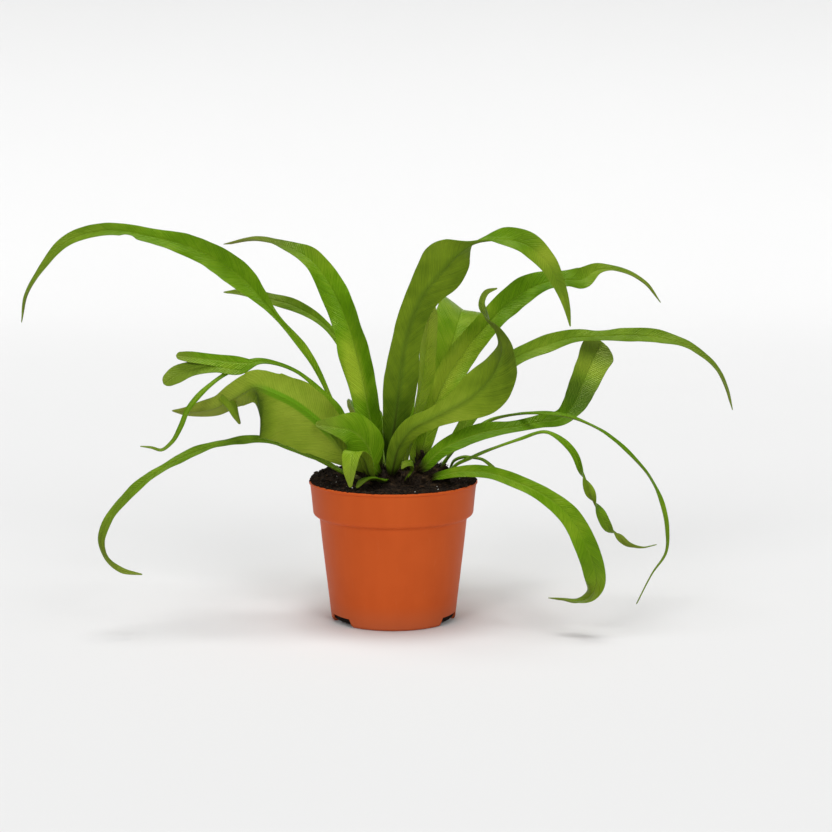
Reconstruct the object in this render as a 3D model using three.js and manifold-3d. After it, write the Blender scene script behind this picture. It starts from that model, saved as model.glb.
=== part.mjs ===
// Potted Japanese bird's nest fern: strap fronds rising from one crown in a round plastic pot.
// Millimetres, +Z up. The origin is on the pot's axis at the underside of its base,
// and -Y is the side the plant is shown from.

import * as THREE from "three";
import { mergeVertices } from "three/addons/utils/BufferGeometryUtils.js";
import Module from "manifold-3d";

const wasm = await Module();
wasm.setup();

// Pot
const POT_HEIGHT = 100;
const POT_RIM_RADIUS = 60;
const POT_FOOT_RADIUS = 44.6;
const POT_WALL = 1.4;
const POT_FLOOR = 1.8;
const COLLAR_LOW_RADIUS = 57.2;
const COLLAR_LOW_Z = 78;
const STEP_RADIUS = 52.6;
const STEP_Z = 73.5;
const LIP = 0.8;
const LIP_HEIGHT = 2;
const NOTCH_HEIGHT = 6;
const NOTCH_LOW_WIDTH = 27;
const NOTCH_TOP_WIDTH = 21;
const NOTCH_ANGLES = [213, 335, 90];
const POT_SIDES = 48;

// Soil and crown
const GAP = 0.3;
const SOCKET_ROOM = 0.5;
const SOCKET_REACH = 30;
const SOIL_LEVEL = 98.4;
const SOIL_HEAP = 3;
const CROWN_X = 8;
const CROWN_Y = 0;
const CROWN_LONG = 38;
const CROWN_SHORT = 20.5;
const CROWN_BOTTOM = 85;
const CROWN_LEVEL = 98.4;
const CROWN_SIDES = 32;
const STALK_DEPTH = 8;

// Fronds
const MARGIN = 0.8;
const RIB = 1.5;
const STALK = 3;
const STALK_FADE = 35;
const NARROW = 14.5;

// Each key of a frond is [x, y, z, width, tilt]: a place on the midrib, the blade's width there
// in millimetres, and how far its upper face is turned toward the front, in degrees. Where the
// halves are unequal a sixth value is the share moved to the far half.
// heading is the way the frond grows seen from above, fold the angle of each half of the blade,
// wave the rise of the margins, waves their number, and hang how far the near and the far half
// hang back toward the root for each millimetre of their width.
const FRONDS = [
  { name: "far_left", heading: 168, fold: 22, wave: 2, waves: 4, phase: 0.1, steps: 2, keys: [
    [-17, 7, 103, 4.5, 20], [-25, 10, 116, 4.5, 20], [-42, 14, 150, 5, 20], [-63, 20, 189, 7, 35],
    [-87, 28, 217.5, 6, 60], [-97, 32, 229, 13, 70], [-108, 36, 240, 20, 75], [-140, 44, 260, 18, 70],
    [-176, 50, 270, 13, 60], [-210, 54, 274, 11, 60], [-237, 54, 266, 10, 60], [-256, 50, 245, 8, 50],
    [-267, 46, 226, 4.5, 40], [-270, 44, 208, 1, 30]] },
  { name: "upper_left", heading: 150, fold: 24, wave: 3, waves: 4, phase: 0.4, steps: 2, keys: [
    [-10, 6, 105, 4.5, 60], [-12, 10, 116, 10, 60], [-18.5, 18, 151, 21, 70], [-25, 28, 179, 24, 75],
    [-33, 38, 207, 23, 70], [-44.5, 50, 231, 22, 55], [-60, 64, 251, 17, 40], [-80, 78, 261, 11, 25],
    [-104, 92, 265, 8, 15], [-128, 102, 261, 1, 10]] },
  { name: "behind_left", heading: 135, fold: 20, wave: 1.5, waves: 3, phase: 0.2, steps: 2, keys: [
    [-13, 13, 101, 4, 30], [-17, 20, 118, 7, 30], [-23, 38, 146, 8, 35], [-31, 60, 177, 8, 35],
    [-51, 80, 202, 7, 40], [-73, 96, 214, 10, 40], [-96, 110, 219.5, 11, 40], [-115, 122, 222.5, 9, 35],
    [-131, 130, 222.5, 1, 30]] },
  { name: "forked", heading: 182, fold: 10, wave: 1, waves: 2, phase: 0.2, steps: 2, keys: [
    [-23, -1, 101, 4, 50], [-31, 1, 123, 8, 60], [-41, 4, 148, 12, 60], [-54, 8, 164, 6, 40],
    [-68, 8, 176, 3.6, 30], [-82, 5, 182.5, 3.6, 30], [-95, 0, 185, 6, 40], [-108, -4, 181, 12, 50],
    [-125, -8, 183, 12, 60], [-142, -12, 180.5, 12, 60], [-153, -15, 176, 13, 60],
    [-160.5, -17, 171, 8, 60]] },
  { name: "hooded", heading: 195, fold: 30, wave: 3, waves: 2.2, phase: 0.35, hang: [0.15, 0.5], steps: 2,
    keys: [
    [-15, -5, 104, 5, -60, -0.15], [-25, -12, 113, 9, -80, -0.15], [-36, -16, 124, 22, -92, -0.15],
    [-46, -20, 138, 41, -98, -0.15], [-59, -24, 151, 50, -100, -0.15], [-71, -27, 160, 52, -100, -0.2],
    [-82, -28, 165.5, 54, -98, -0.3], [-91, -27, 169, 52, -95, -0.35], [-96, -25, 170, 30, -92, -0.15],
    [-104, -22, 166, 26, -85, -0.15], [-114, -18, 160, 23, -80, -0.15], [-125, -14, 154, 19, -75, -0.15],
    [-137, -12, 151.5, 16, -70, -0.15], [-147, -10, 150.5, 9, -70, -0.15], [-156, -9, 151, 1, -70, -0.15]] },
  { name: "front_left", heading: 205, fold: 14, wave: 3, waves: 1.5, phase: 0.7, steps: 2, keys: [
    [-9, -7, 105, 5, 80], [-13, -12, 111, 9, 80], [-18, -15, 127, 24, 80], [-29, -19, 138, 28, 75],
    [-40, -23, 141, 17, 60], [-54, -27, 144, 4, 50]] },
  { name: "front_drooping", heading: 250, fold: 14, wave: 1, waves: 1.5, phase: 0.7, steps: 2, keys: [
    [-14, -14, 102, 4, 0], [-17, -23, 111, 8, 0], [-21, -33, 123, 12, 0], [-27, -39, 126, 15, 0],
    [-29, -45, 118, 12, 0], [-29, -48, 103, 2, 0]] },
  { name: "front_low", heading: 230, fold: 14, wave: 1, waves: 1.5, phase: 0.7, steps: 2, keys: [
    [-4, -14, 102, 4, 0], [-8, -23, 104, 7, 0], [-14, -31, 107, 9, 0], [-20, -38, 106, 8, 0],
    [-25, -44, 102, 2, 0]] },
  { name: "low_left", heading: 200, fold: 16, wave: 1, waves: 6, phase: 0.2, steps: 2, keys: [
    [-22, -8, 101, 4, 30], [-32, -7, 105, 4.5, 30], [-46, -5, 112, 6, 35], [-66, -3, 121, 7, 35],
    [-93, -5, 129, 7, 35], [-116, -20, 130, 7, 35], [-138, -32, 125, 7, 40], [-161, -42, 114, 7, 40],
    [-183, -49, 97, 7, 45], [-196, -53, 81, 6.5, 60], [-201, -54, 67, 5.5, 100], [-198, -54, 55, 5, 140],
    [-188, -54, 46, 5, 140], [-173, -54, 43, 1, 140]] },
  { name: "tall", heading: -15, fold: 22, wave: 2.5, waves: 4, phase: 0.1, steps: 2, keys: [
    [-2, 1, 105, 5, -70], [-2, -4, 119, 9, -75], [1, -7, 140, 18, -78], [5, -11, 170, 26, -80],
    [9.5, -15, 202, 22, -80], [19.5, -21, 231, 25, -80], [36, -26, 253, 36, -70],
    [46, -30, 264, 28, -45], [57, -33, 271, 9, -8], [74, -36, 273, 18, 30], [91, -38, 270, 18.5, 60],
    [105, -40, 259, 14.5, 75], [114, -41, 243, 9.5, 80], [119.5, -42, 227, 5, 80], [122, -42, 214, 1, 80]] },
  { name: "young", heading: 80, fold: 24, wave: 1, waves: 2, phase: 0.1, steps: 2, keys: [
    [8, 6, 104, 4.5, 85], [10, 7, 120, 8, 80], [16, 8, 148, 13, 65], [22, 9, 178, 16, 55],
    [24, 12, 204, 16, 50], [26, 16, 217, 12, 50], [27, 20, 226, 5, 50]] },
  { name: "back_arching", heading: 75, fold: 16, wave: 1.5, waves: 2, phase: 0.1, steps: 2, keys: [
    [14, 13, 104, 5, 0], [17, 20, 118, 11, 0], [25, 32, 143, 21, 8], [34, 46, 167, 31, 14],
    [43, 62, 191, 36, 20], [48, 78, 206, 38, 22], [51, 96, 212, 37, 22], [54, 114, 207, 32, 16],
    [56, 130, 193, 22, 6], [57, 139, 178, 4, 0]] },
  { name: "right_back", heading: 35, fold: 24, wave: 3, waves: 5, phase: 0.1, steps: 2, keys: [
    [18, 6, 111, 4.5, 60], [21, 11, 120, 10.5, 60], [26, 19, 139, 16, 60], [35, 29, 162, 21, 60],
    [49, 39, 184, 22, 60], [67, 48, 205, 20, 55], [84, 56, 221, 21, 50], [104, 63, 233, 20, 50],
    [124, 70, 236.5, 18, 45], [138, 75, 236.5, 18, 45], [150, 80, 243, 10.5, 40],
    [174, 87, 240.5, 6.5, 40], [189, 90, 231, 4, 40], [199, 92, 218, 1, 40]] },
  { name: "right", heading: 12, fold: 18, wave: 1.5, waves: 4, phase: 0.1, steps: 2, keys: [
    [29, 5, 112, 4, 40], [39, 12, 120, 8, 40], [52, 16, 138, 11, 45], [66, 20, 158, 13, 45],
    [89, 22, 185.5, 14, 45], [109, 22, 193.5, 14, 45], [128, 22, 199, 13, 45], [146, 22, 200, 12, 40],
    [169, 22, 201, 12, 45], [191, 22, 199, 11.5, 45], [213, 22, 192, 9.5, 40], [231, 22, 178, 6, 40],
    [240, 22, 161, 4, 30], [244, 22, 147, 1, 30]] },
  { name: "curled", heading: -20, fold: 14, wave: 3, waves: 2.5, phase: 0.55, steps: 2, keys: [
    [-1, -7, 104, 5, -60], [0, -14, 112, 10, -60], [4, -19, 127, 14, -60], [14, -24, 141, 15, -70],
    [27, -28, 148, 15, -85], [41, -32, 155.5, 20, -95], [54, -36, 163.5, 30, -100],
    [66, -39, 175, 35, -105], [73.5, -41, 188, 29, -110], [76, -42, 201, 20, -125],
    [71.5, -42, 211, 15, -145], [64.5, -41, 220, 10, -175], [61, -40, 230, 5, -225],
    [64, -39, 237, 4, -250], [72, -38, 240, 1, -270]] },
  { name: "right_turned", heading: 20, fold: 16, wave: 1.5, waves: 3, phase: 0.1, steps: 2, keys: [
    [17, -6, 107.5, 4.5, 40], [22, -10, 111.5, 9, 40], [33, -12, 122.5, 12, 45], [49, -12, 131, 14, 45],
    [66, -10, 136, 14, 45], [84, -6, 138.5, 11, 45], [104, 3, 141, 11, 45], [121, 12, 143, 13, 55],
    [130, 20, 152, 18, 65], [136, 28, 164, 21.5, 72], [142.5, 36, 177, 24.5, 75],
    [148.5, 43, 188, 26, 75], [152.5, 46, 193, 17, 75]] },
  { name: "long_thin", heading: -5, fold: 16, wave: 0.6, waves: 5, phase: 0.1, steps: 1, keys: [
    [33, -1, 108, 3.4, 20], [40, 1, 118, 3.4, 20], [52, 4, 131, 3.4, 15], [70, 5, 142.5, 3.6, 10],
    [89, 1, 147.5, 3.8, 10], [107, -8, 149, 3.8, 15], [129, -15, 146, 3.6, 20], [147, -18, 138, 3.4, 20],
    [165, -19, 123, 3.4, 20], [181, -19, 105, 3.4, 25], [190, -20, 85, 3.4, 50], [193, -21, 69, 3.2, 60],
    [192.5, -22, 52, 2.4, 60], [183, -23, 37, 1.2, 60], [172, -24, 15, 0.9, 60]] },
  { name: "twisted", heading: -20, fold: 8, wave: 0.6, waves: 5, phase: 0.1, steps: 2, keys: [
    [36, -8, 102, 3.4, 20], [44, -12, 113, 3.4, 20], [54, -14, 118, 3.4, 20], [68, -16, 124.5, 3.2, 20],
    [89, -20, 132.5, 3.4, 20], [107, -24, 138, 4, 20], [119, -27, 132, 4.6, 50],
    [127.5, -29, 122, 5.2, 80], [131.5, -31, 112, 6, 130], [134.5, -32, 104, 7, 200],
    [139, -33, 94, 7.4, 290], [145, -34, 82, 7.6, 400], [151, -35, 72, 7.4, 470], [157, -36, 67, 6, 560],
    [164, -37, 61, 4.4, 640], [174, -38, 59, 2.4, 700], [184, -39, 61, 0.9, 740]] },
  { name: "low_right", heading: -28, fold: 16, wave: 1.5, waves: 3, phase: 0.1, steps: 2, keys: [
    [26, -12, 102, 5, 50], [36, -20, 107, 8, 50], [49, -27, 110.5, 9.5, 50], [66, -34, 111, 9.5, 50],
    [85, -41, 106, 10.5, 55], [104.5, -47, 97.5, 12, 58], [121, -53, 85, 14.5, 60],
    [131.5, -57, 68, 16.5, 65], [138.5, -59, 50, 16, 80], [140, -59, 36, 15, 100],
    [136, -56, 27.5, 14, 140], [127, -53, 23.5, 8, 170], [118, -51, 25, 4, 190],
    [108, -49.5, 25.5, 1, 200]] },
  { name: "dry_strand", heading: -20, fold: 8, wave: 0.3, waves: 2, phase: 0.1, steps: 1, keys: [
    [39, 1, 102, 2.8, 20], [43, -1, 114, 2.8, 20], [50, -3, 117, 2.8, 20], [56, -5, 117, 2.8, 20],
    [63, -7, 116, 3, 20], [70, -9, 111, 3, 20], [76, -11, 106, 1, 20]] },
  { name: "small", heading: 200, fold: 14, wave: 0.3, waves: 2, phase: 0.1, steps: 1, keys: [
    [9, -12, 101, 2.8, 20], [14, -16, 111, 4, 20], [13, -20, 115, 7, 30], [9, -23, 115, 6, 30],
    [6, -25, 112, 1, 30]] },
  { name: "back_left", heading: 115, fold: 18, wave: 1.5, waves: 3, phase: 0.1, steps: 2, keys: [
    [-6, 15, 101, 4.5, 0], [-10, 30, 117, 12, 0], [-16, 48, 132, 18, 0], [-22, 70, 141, 20, 0],
    [-27, 94, 142, 18, 0], [-29, 118, 132, 12, 0], [-30, 134, 114, 1, 0]] },
  { name: "back_middle", heading: 94, fold: 18, wave: 1.5, waves: 3, phase: 0.3, steps: 2, keys: [
    [2, 13, 101, 4.5, 0], [5, 28, 120, 13, 0], [5, 48, 145, 21, 0], [5, 72, 161, 24, 0],
    [5, 98, 165, 22, 0], [5, 124, 154, 15, 0], [5, 142, 131, 1, 0]] },
];

// Side lobes, grown together with the frond they leave.
const LOBES = [
  { of: "forked", heading: 182, fold: 10, wave: 0.6, waves: 1, phase: 0.2, steps: 2, keys: [
    [-98, -1, 183.5, 5, 50], [-108, -3, 184, 10, 55], [-122, -6, 186, 9.5, 60], [-135, -9, 188, 9, 60],
    [-145, -11, 189.5, 8, 60], [-152, -12, 190.5, 5, 60]] },
  { of: "forked", heading: 182, fold: 10, wave: 0.6, waves: 1, phase: 0.2, steps: 1, keys: [
    [-107, -3, 182, 4, 40], [-118, -9, 177, 3, 40], [-127, -15, 171, 3, 50], [-136, -21, 163, 4, 70],
    [-143, -24, 154, 3.8, 80], [-148, -26, 142, 3.8, 80], [-154.5, -28, 131, 3, 60],
    [-161.5, -29, 126, 2.6, 40], [-168, -30, 128, 2, 40], [-176, -30, 129, 0.8, 40]] },
  { of: "hooded", heading: 195, fold: 10, wave: 0.3, waves: 1, phase: 0.2, steps: 1, keys: [
    [-120, -15, 162, 7, -75], [-114, -17, 157, 8, -75], [-110, -19, 149, 5, -75],
    [-107, -20, 143, 1.6, -75]] },
];

// Dead stalk stubs on the crown: [x, y, lean toward x, lean toward y, length, radius]
const STUBS = [
  [22, 0, -3, -4, 12, 1.7], [27, 8, 3, 3, 11, 1.5], [12, 1, -3, -2, 10, 1.6], [21, -14, 2, -5, 8, 1.4],
  [32, -7, 4, -3, 9, 1.3], [35, 5, 5, 2, 9, 1.4], [-5, 1, -2, 2, 8, 1.5], [4, -6, 1, -4, 9, 1.5],
  [-2, 8, -1, 3, 8, 1.4], [8, 14, 1, 4, 9, 1.5],
];

const DEG = Math.PI / 180;

// A repeatable stream of values between 0 and 1.
function stream(seed) {
  let state = seed;
  return () => {
    state = (state * 1103515245 + 12345) % 2147483648;
    return state / 2147483648;
  };
}

function toSolid(geometry) {
  const plain = new THREE.BufferGeometry();
  plain.setAttribute("position", geometry.getAttribute("position"));
  if (geometry.index) plain.setIndex(geometry.index);
  const merged = mergeVertices(plain, 1e-4);
  return new wasm.Manifold(new wasm.Mesh({
    numProp: 3,
    vertProperties: new Float32Array(merged.getAttribute("position").array),
    triVerts: new Uint32Array(merged.index.array),
  }));
}

function fromSolid(solid) {
  const mesh = solid.getMesh();
  const geometry = new THREE.BufferGeometry();
  geometry.setAttribute("position", new THREE.BufferAttribute(new Float32Array(mesh.vertProperties), 3));
  geometry.setIndex(new THREE.BufferAttribute(new Uint32Array(mesh.triVerts), 1));
  geometry.computeVertexNormals();
  return geometry;
}

// Points and triangles to a closed geometry whose faces point out.
function closedGeometry(points, triangles) {
  let volume = 0;
  for (const [a, b, c] of triangles) {
    volume += points[a].dot(new THREE.Vector3().crossVectors(points[b], points[c]));
  }
  const faces = volume > 0 ? triangles : triangles.map(([a, b, c]) => [a, c, b]);
  const geometry = new THREE.BufferGeometry().setFromPoints(points);
  geometry.setIndex(faces.flat());
  return geometry;
}

// Height of the crown's surface over the floor.
function crownHeight(x, y) {
  const left = 8 * Math.exp(-((x + 8) ** 2 + (y + 1) ** 2) / 16 ** 2);
  const right = 17 * Math.exp(-((x - 24) ** 2 + (y - 3) ** 2) / 13 ** 2);
  return CROWN_LEVEL + left + right;
}

// A smooth run through a frond's keys, starting at its root below the crown's surface.
function midrib(frond) {
  const keys = frond.keys.map((key) => [...key]);
  if (frond.name) {
    const first = new THREE.Vector3(...keys[0]);
    const way = new THREE.Vector3(...keys[1]).sub(first).normalize();
    way.z += 1.5;
    first.addScaledVector(way.normalize(), -STALK_DEPTH);
    keys.unshift([first.x, first.y, first.z, ...keys[0].slice(3)]);
  }
  const last = keys.length - 1;
  const span = [];
  for (let i = 0; i < last; i++) {
    span.push(Math.hypot(...[0, 1, 2].map((c) => keys[i + 1][c] - keys[i][c])));
  }
  const chord = span.map((h, i) => keys[i].map((v, c) => (keys[i + 1][c] - v) / h));
  const slope = keys.map((key, i) => {
    if (i === 0) return chord[0];
    if (i === last) return chord[last - 1];
    const share = span[i - 1] / (span[i - 1] + span[i]);
    return key.map((_, c) => chord[i - 1][c] * (1 - share) + chord[i][c] * share);
  });
  const total = span.reduce((sum, h) => sum + h, 0);
  const stations = [];
  let before = 0;
  for (let i = 0; i < last; i++) {
    const count = frond.steps + (i === last - 1 ? 1 : 0);
    for (let j = 0; j < count; j++) {
      const u = j / frond.steps;
      const h = span[i];
      const row = keys[i].map((v, c) => (1 + 2 * u) * (1 - u) ** 2 * v + u * (1 - u) ** 2 * h * slope[i][c]
        + u * u * (3 - 2 * u) * keys[i + 1][c] + u * u * (u - 1) * h * slope[i + 1][c]);
      const rate = keys[i].map((v, c) => (6 * u * u - 6 * u) * v + (3 * u * u - 4 * u + 1) * h * slope[i][c]
        + (6 * u - 6 * u * u) * keys[i + 1][c] + (3 * u * u - 2 * u) * h * slope[i + 1][c]);
      stations.push({
        place: new THREE.Vector3(row[0], row[1], row[2]),
        way: new THREE.Vector3(rate[0], rate[1], rate[2]).normalize(),
        width: Math.max(row[3], 0.9),
        tilt: row[4] * DEG,
        lean: row[5] ?? 0,
        along: before + u * h,
        part: (before + u * h) / total,
      });
    }
    before += span[i];
  }
  return stations;
}

// Upper and lower rows of points across a frond at one station. grow thickens it all round.
function crossRows(frond, station, grow) {
  const widest = Math.max(...frond.keys.map((key) => key[3]));
  const rows = widest < NARROW || grow > 0 ? [-1, 0, 1] : [-1, -0.5, 0, 0.5, 1];
  const turn = frond.heading * DEG;
  const level = new THREE.Vector3(-Math.sin(turn), Math.cos(turn), 0);
  level.addScaledVector(station.way, -level.dot(station.way)).normalize();
  const upper = new THREE.Vector3().crossVectors(station.way, level);
  const front = level.clone().multiplyScalar(Math.cos(turn) > 0 ? -1 : 1);
  const face = upper.multiplyScalar(Math.cos(station.tilt)).addScaledVector(front, Math.sin(station.tilt));
  const side = new THREE.Vector3().crossVectors(face, station.way);
  const fade = Math.exp(-Math.max(station.along - STALK_DEPTH, 0) / STALK_FADE);
  const fold = frond.fold * DEG * (1 - fade ** 2);
  const rib = RIB + (Math.min(STALK, station.width * 0.7) - RIB) * fade;
  const swell = Math.sin(Math.PI * Math.min(station.part * 1.02, 1)) ** 0.6 * station.width / widest;
  const top = [];
  const bottom = [];
  for (const s of rows) {
    const across = s * (1 + station.lean * Math.sign(s)) * station.width / 2;
    const beat = frond.waves * station.part + frond.phase + (s > 0 ? 0.3 : 0);
    const ripple = frond.wave * swell * s * s * Math.sin(2 * Math.PI * beat);
    const lift = Math.abs(across) * Math.sin(fold) + ripple;
    const thick = MARGIN + (rib - MARGIN) * (1 - Math.abs(s)) ** 1.5;
    const middle = station.place.clone();
    middle.addScaledVector(side, across * Math.cos(fold) + grow * Math.sign(s));
    const hang = (frond.hang ?? [0, 0])[s < 0 ? 0 : 1] * (1 - fade);
    middle.addScaledVector(station.way, -hang * Math.abs(across));
    middle.addScaledVector(face, lift);
    top.push(middle.clone().addScaledVector(face, MARGIN / 2 + grow));
    bottom.push(middle.addScaledVector(face, MARGIN / 2 - thick - grow));
  }
  return { top, bottom };
}

// A closed skin over the stations: upper face, lower face, two margins and two ends.
function bladeGeometry(frond, stations, grow = 0) {
  const points = [];
  const triangles = [];
  const quad = (a, b, c, d) => triangles.push([a, b, c], [a, c, d]);
  let wide = 0;
  for (const station of stations) {
    const { top, bottom } = crossRows(frond, station, grow);
    wide = top.length;
    points.push(...top, ...bottom);
  }
  const at = (ring, row) => ring * 2 * wide + row;
  const end = stations.length - 1;
  for (let ring = 0; ring < end; ring++) {
    for (let row = 0; row < wide - 1; row++) {
      quad(at(ring, row), at(ring + 1, row), at(ring + 1, row + 1), at(ring, row + 1));
      const [a, b] = [at(ring, wide + row), at(ring + 1, wide + row)];
      triangles.push([a, b + 1, b], [a, a + 1, b + 1]);
    }
    quad(at(ring, 0), at(ring, wide), at(ring + 1, wide), at(ring + 1, 0));
    quad(at(ring, wide - 1), at(ring + 1, wide - 1), at(ring + 1, 2 * wide - 1), at(ring, 2 * wide - 1));
  }
  for (let row = 0; row < wide - 1; row++) {
    quad(at(0, row), at(0, row + 1), at(0, wide + row + 1), at(0, wide + row));
    quad(at(end, row), at(end, wide + row), at(end, wide + row + 1), at(end, row + 1));
  }
  return closedGeometry(points, triangles);
}

function frondGeometry(frond) {
  const blade = bladeGeometry(frond, midrib(frond));
  const lobes = LOBES.filter((lobe) => lobe.of === frond.name);
  if (lobes.length === 0) return blade;
  let joined = toSolid(blade);
  for (const lobe of lobes) joined = joined.add(toSolid(bladeGeometry(lobe, midrib(lobe))));
  return fromSolid(joined);
}

// The room a stalk needs in the crown, a little wider than the stalk.
function socketGeometry(frond) {
  const stations = midrib(frond).filter((station) => station.along < STALK_DEPTH + SOCKET_REACH);
  const foot = stations[0];
  foot.place.addScaledVector(foot.way, -GAP);
  return bladeGeometry(frond, stations, SOCKET_ROOM);
}

// A closed body under a height field on an elliptic outline, down to a flat base.
function moundGeometry(cx, cy, long, short, sides, rings, height, base) {
  const points = [];
  const triangles = [];
  points.push(new THREE.Vector3(cx, cy, height(cx, cy, 0)));
  for (let ring = 1; ring <= rings; ring++) {
    const part = ring / rings;
    for (let side = 0; side < sides; side++) {
      const turn = (side / sides) * 2 * Math.PI;
      const x = cx + long * part * Math.cos(turn);
      const y = cy + short * part * Math.sin(turn);
      points.push(new THREE.Vector3(x, y, height(x, y, part)));
    }
  }
  const at = (ring, side) => 1 + (ring - 1) * sides + (side % sides);
  for (let side = 0; side < sides; side++) {
    triangles.push([0, at(1, side), at(1, side + 1)]);
    for (let ring = 1; ring < rings; ring++) {
      const [a, b] = [at(ring, side), at(ring + 1, side)];
      const [c, d] = [at(ring + 1, side + 1), at(ring, side + 1)];
      triangles.push([a, b, c], [a, c, d]);
    }
  }
  const low = points.length;
  for (let side = 0; side < sides; side++) {
    const rim = points[at(rings, side)];
    const inward = base.radius === undefined ? 1 : base.radius / long;
    points.push(new THREE.Vector3(cx + (rim.x - cx) * inward, cy + (rim.y - cy) * inward, base.z));
  }
  points.push(new THREE.Vector3(cx, cy, base.z));
  const middle = points.length - 1;
  for (let side = 0; side < sides; side++) {
    const next = (side + 1) % sides;
    triangles.push([at(rings, side), low + side, low + next]);
    triangles.push([at(rings, side), low + next, at(rings, side + 1)]);
    triangles.push([middle, low + next, low + side]);
  }
  return closedGeometry(points, triangles);
}

function potGeometry() {
  const wall = POT_WALL;
  const profile = [
    [0, 0],
    [POT_FOOT_RADIUS - 2.5, 0],
    [POT_FOOT_RADIUS - 0.7, 0.7],
    [POT_FOOT_RADIUS, 2.5],
    [STEP_RADIUS, STEP_Z],
    [STEP_RADIUS + 1.2, STEP_Z + 1.2],
    [COLLAR_LOW_RADIUS - 1, COLLAR_LOW_Z - 2],
    [COLLAR_LOW_RADIUS, COLLAR_LOW_Z],
    [POT_RIM_RADIUS - LIP, POT_HEIGHT - LIP_HEIGHT],
    [POT_RIM_RADIUS, POT_HEIGHT - LIP_HEIGHT + 0.6],
    [POT_RIM_RADIUS, POT_HEIGHT - 0.5],
    [POT_RIM_RADIUS - 0.6, POT_HEIGHT],
    [POT_RIM_RADIUS - LIP - wall, POT_HEIGHT - 0.3],
    [COLLAR_LOW_RADIUS - wall, COLLAR_LOW_Z + 0.6],
    [STEP_RADIUS - wall, STEP_Z + 1.6],
    [POT_FOOT_RADIUS - wall, POT_FLOOR],
    [0, POT_FLOOR],
  ];
  const bowl = new THREE.LatheGeometry(profile.map(([r, z]) => new THREE.Vector2(r, z)), POT_SIDES);
  bowl.rotateX(Math.PI / 2);
  let pot = toSolid(bowl);
  for (const angle of NOTCH_ANGLES) pot = pot.subtract(toSolid(notchGeometry(angle)));
  return fromSolid(pot);
}

// A drainage notch at the foot: a wedge, wider at the floor, reaching through the wall.
function notchGeometry(angle) {
  const shape = new THREE.Shape([
    new THREE.Vector2(-NOTCH_LOW_WIDTH / 2, -1),
    new THREE.Vector2(NOTCH_LOW_WIDTH / 2, -1),
    new THREE.Vector2(NOTCH_TOP_WIDTH / 2, NOTCH_HEIGHT),
    new THREE.Vector2(-NOTCH_TOP_WIDTH / 2, NOTCH_HEIGHT),
  ]);
  const wedge = new THREE.ExtrudeGeometry(shape, { depth: 20, bevelEnabled: false });
  wedge.rotateX(Math.PI / 2);
  wedge.rotateZ(Math.PI / 2);
  wedge.translate(37, 0, 0);
  wedge.rotateZ(angle * DEG);
  return wedge;
}

// Soil surface: a shallow heap at the back left and small lumps from a few crossing waves.
function soilHeight(x, y, part) {
  const heap = SOIL_HEAP * Math.exp(-((x + 38) ** 2 + (y - 22) ** 2) / 24 ** 2);
  const lumps = 0.7 * Math.sin(0.37 * x + 1.1) * Math.cos(0.41 * y) + 0.5 * Math.sin(0.71 * x - 0.53 * y);
  return SOIL_LEVEL + heap + lumps * (1 - part ** 4);
}

function soilGeometry() {
  const room = POT_WALL + 2 * GAP;
  const top = POT_RIM_RADIUS - LIP - room - 0.6;
  const neck = COLLAR_LOW_RADIUS - room;
  const low = COLLAR_LOW_Z + 1;
  const surface = moundGeometry(0, 0, top, top, POT_SIDES, 5, soilHeight, { z: low, radius: neck });
  const profile = [
    [0, POT_FLOOR + GAP],
    [POT_FOOT_RADIUS - room, POT_FLOOR + GAP],
    [STEP_RADIUS - room, STEP_Z + 2],
    [neck, low],
    [neck, low + 1],
    [0, low + 1],
  ];
  const body = new THREE.LatheGeometry(profile.map(([r, z]) => new THREE.Vector2(r, z)), POT_SIDES);
  body.rotateX(Math.PI / 2);
  const pocket = ellipseGeometry(CROWN_LONG + GAP, CROWN_SHORT + GAP, CROWN_BOTTOM - GAP, POT_HEIGHT + 20);
  return fromSolid(toSolid(surface).add(toSolid(body)).subtract(toSolid(pocket)));
}

function ellipseGeometry(long, short, low, high) {
  const body = new THREE.CylinderGeometry(1, 1, high - low, CROWN_SIDES);
  body.rotateX(Math.PI / 2);
  body.scale(long, short, 1);
  body.translate(CROWN_X, CROWN_Y, (low + high) / 2);
  return body;
}

function stubGeometry([x, y, leanX, leanY, length, radius]) {
  const stub = new THREE.CylinderGeometry(radius * 0.7, radius, length, 6);
  stub.translate(0, length / 2 - 4, 0);
  const way = new THREE.Vector3(leanX, leanY, length).normalize();
  stub.applyQuaternion(new THREE.Quaternion().setFromUnitVectors(new THREE.Vector3(0, 1, 0), way));
  stub.translate(x, y, crownHeight(x, y));
  return stub;
}

// The crown: a fibrous mound with old stalk stubs, and a plain hole for every stalk.
function crownGeometry() {
  const random = stream(7);
  const height = (x, y, part) => crownHeight(x, y) + (random() - 0.5) * 1.4 * (1 - part ** 6) + 0.6;
  const mound = moundGeometry(CROWN_X, CROWN_Y, CROWN_LONG, CROWN_SHORT, CROWN_SIDES, 5, height,
    { z: CROWN_BOTTOM });
  let crown = toSolid(mound);
  for (const stub of STUBS) crown = crown.add(toSolid(stubGeometry(stub)));
  for (const frond of FRONDS) crown = crown.subtract(toSolid(socketGeometry(frond)));
  return fromSolid(crown);
}

function material(colour, roughness) {
  return new THREE.MeshStandardMaterial({ color: colour, roughness, metalness: 0 });
}

function piece(name, geometry, look) {
  const mesh = new THREE.Mesh(geometry, look);
  mesh.name = name;
  return mesh;
}

const plant = new THREE.Group();
plant.add(piece("pot", potGeometry(), material(0xc0552d, 0.45)));
plant.add(piece("soil", soilGeometry(), material(0x1e1712, 0.95)));
plant.add(piece("crown", crownGeometry(), material(0x2a1c12, 0.9)));
for (const frond of FRONDS) {
  plant.add(piece("frond_" + frond.name, frondGeometry(frond), material(0x4f7d1f, 0.4)));
}

export default plant;
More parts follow.
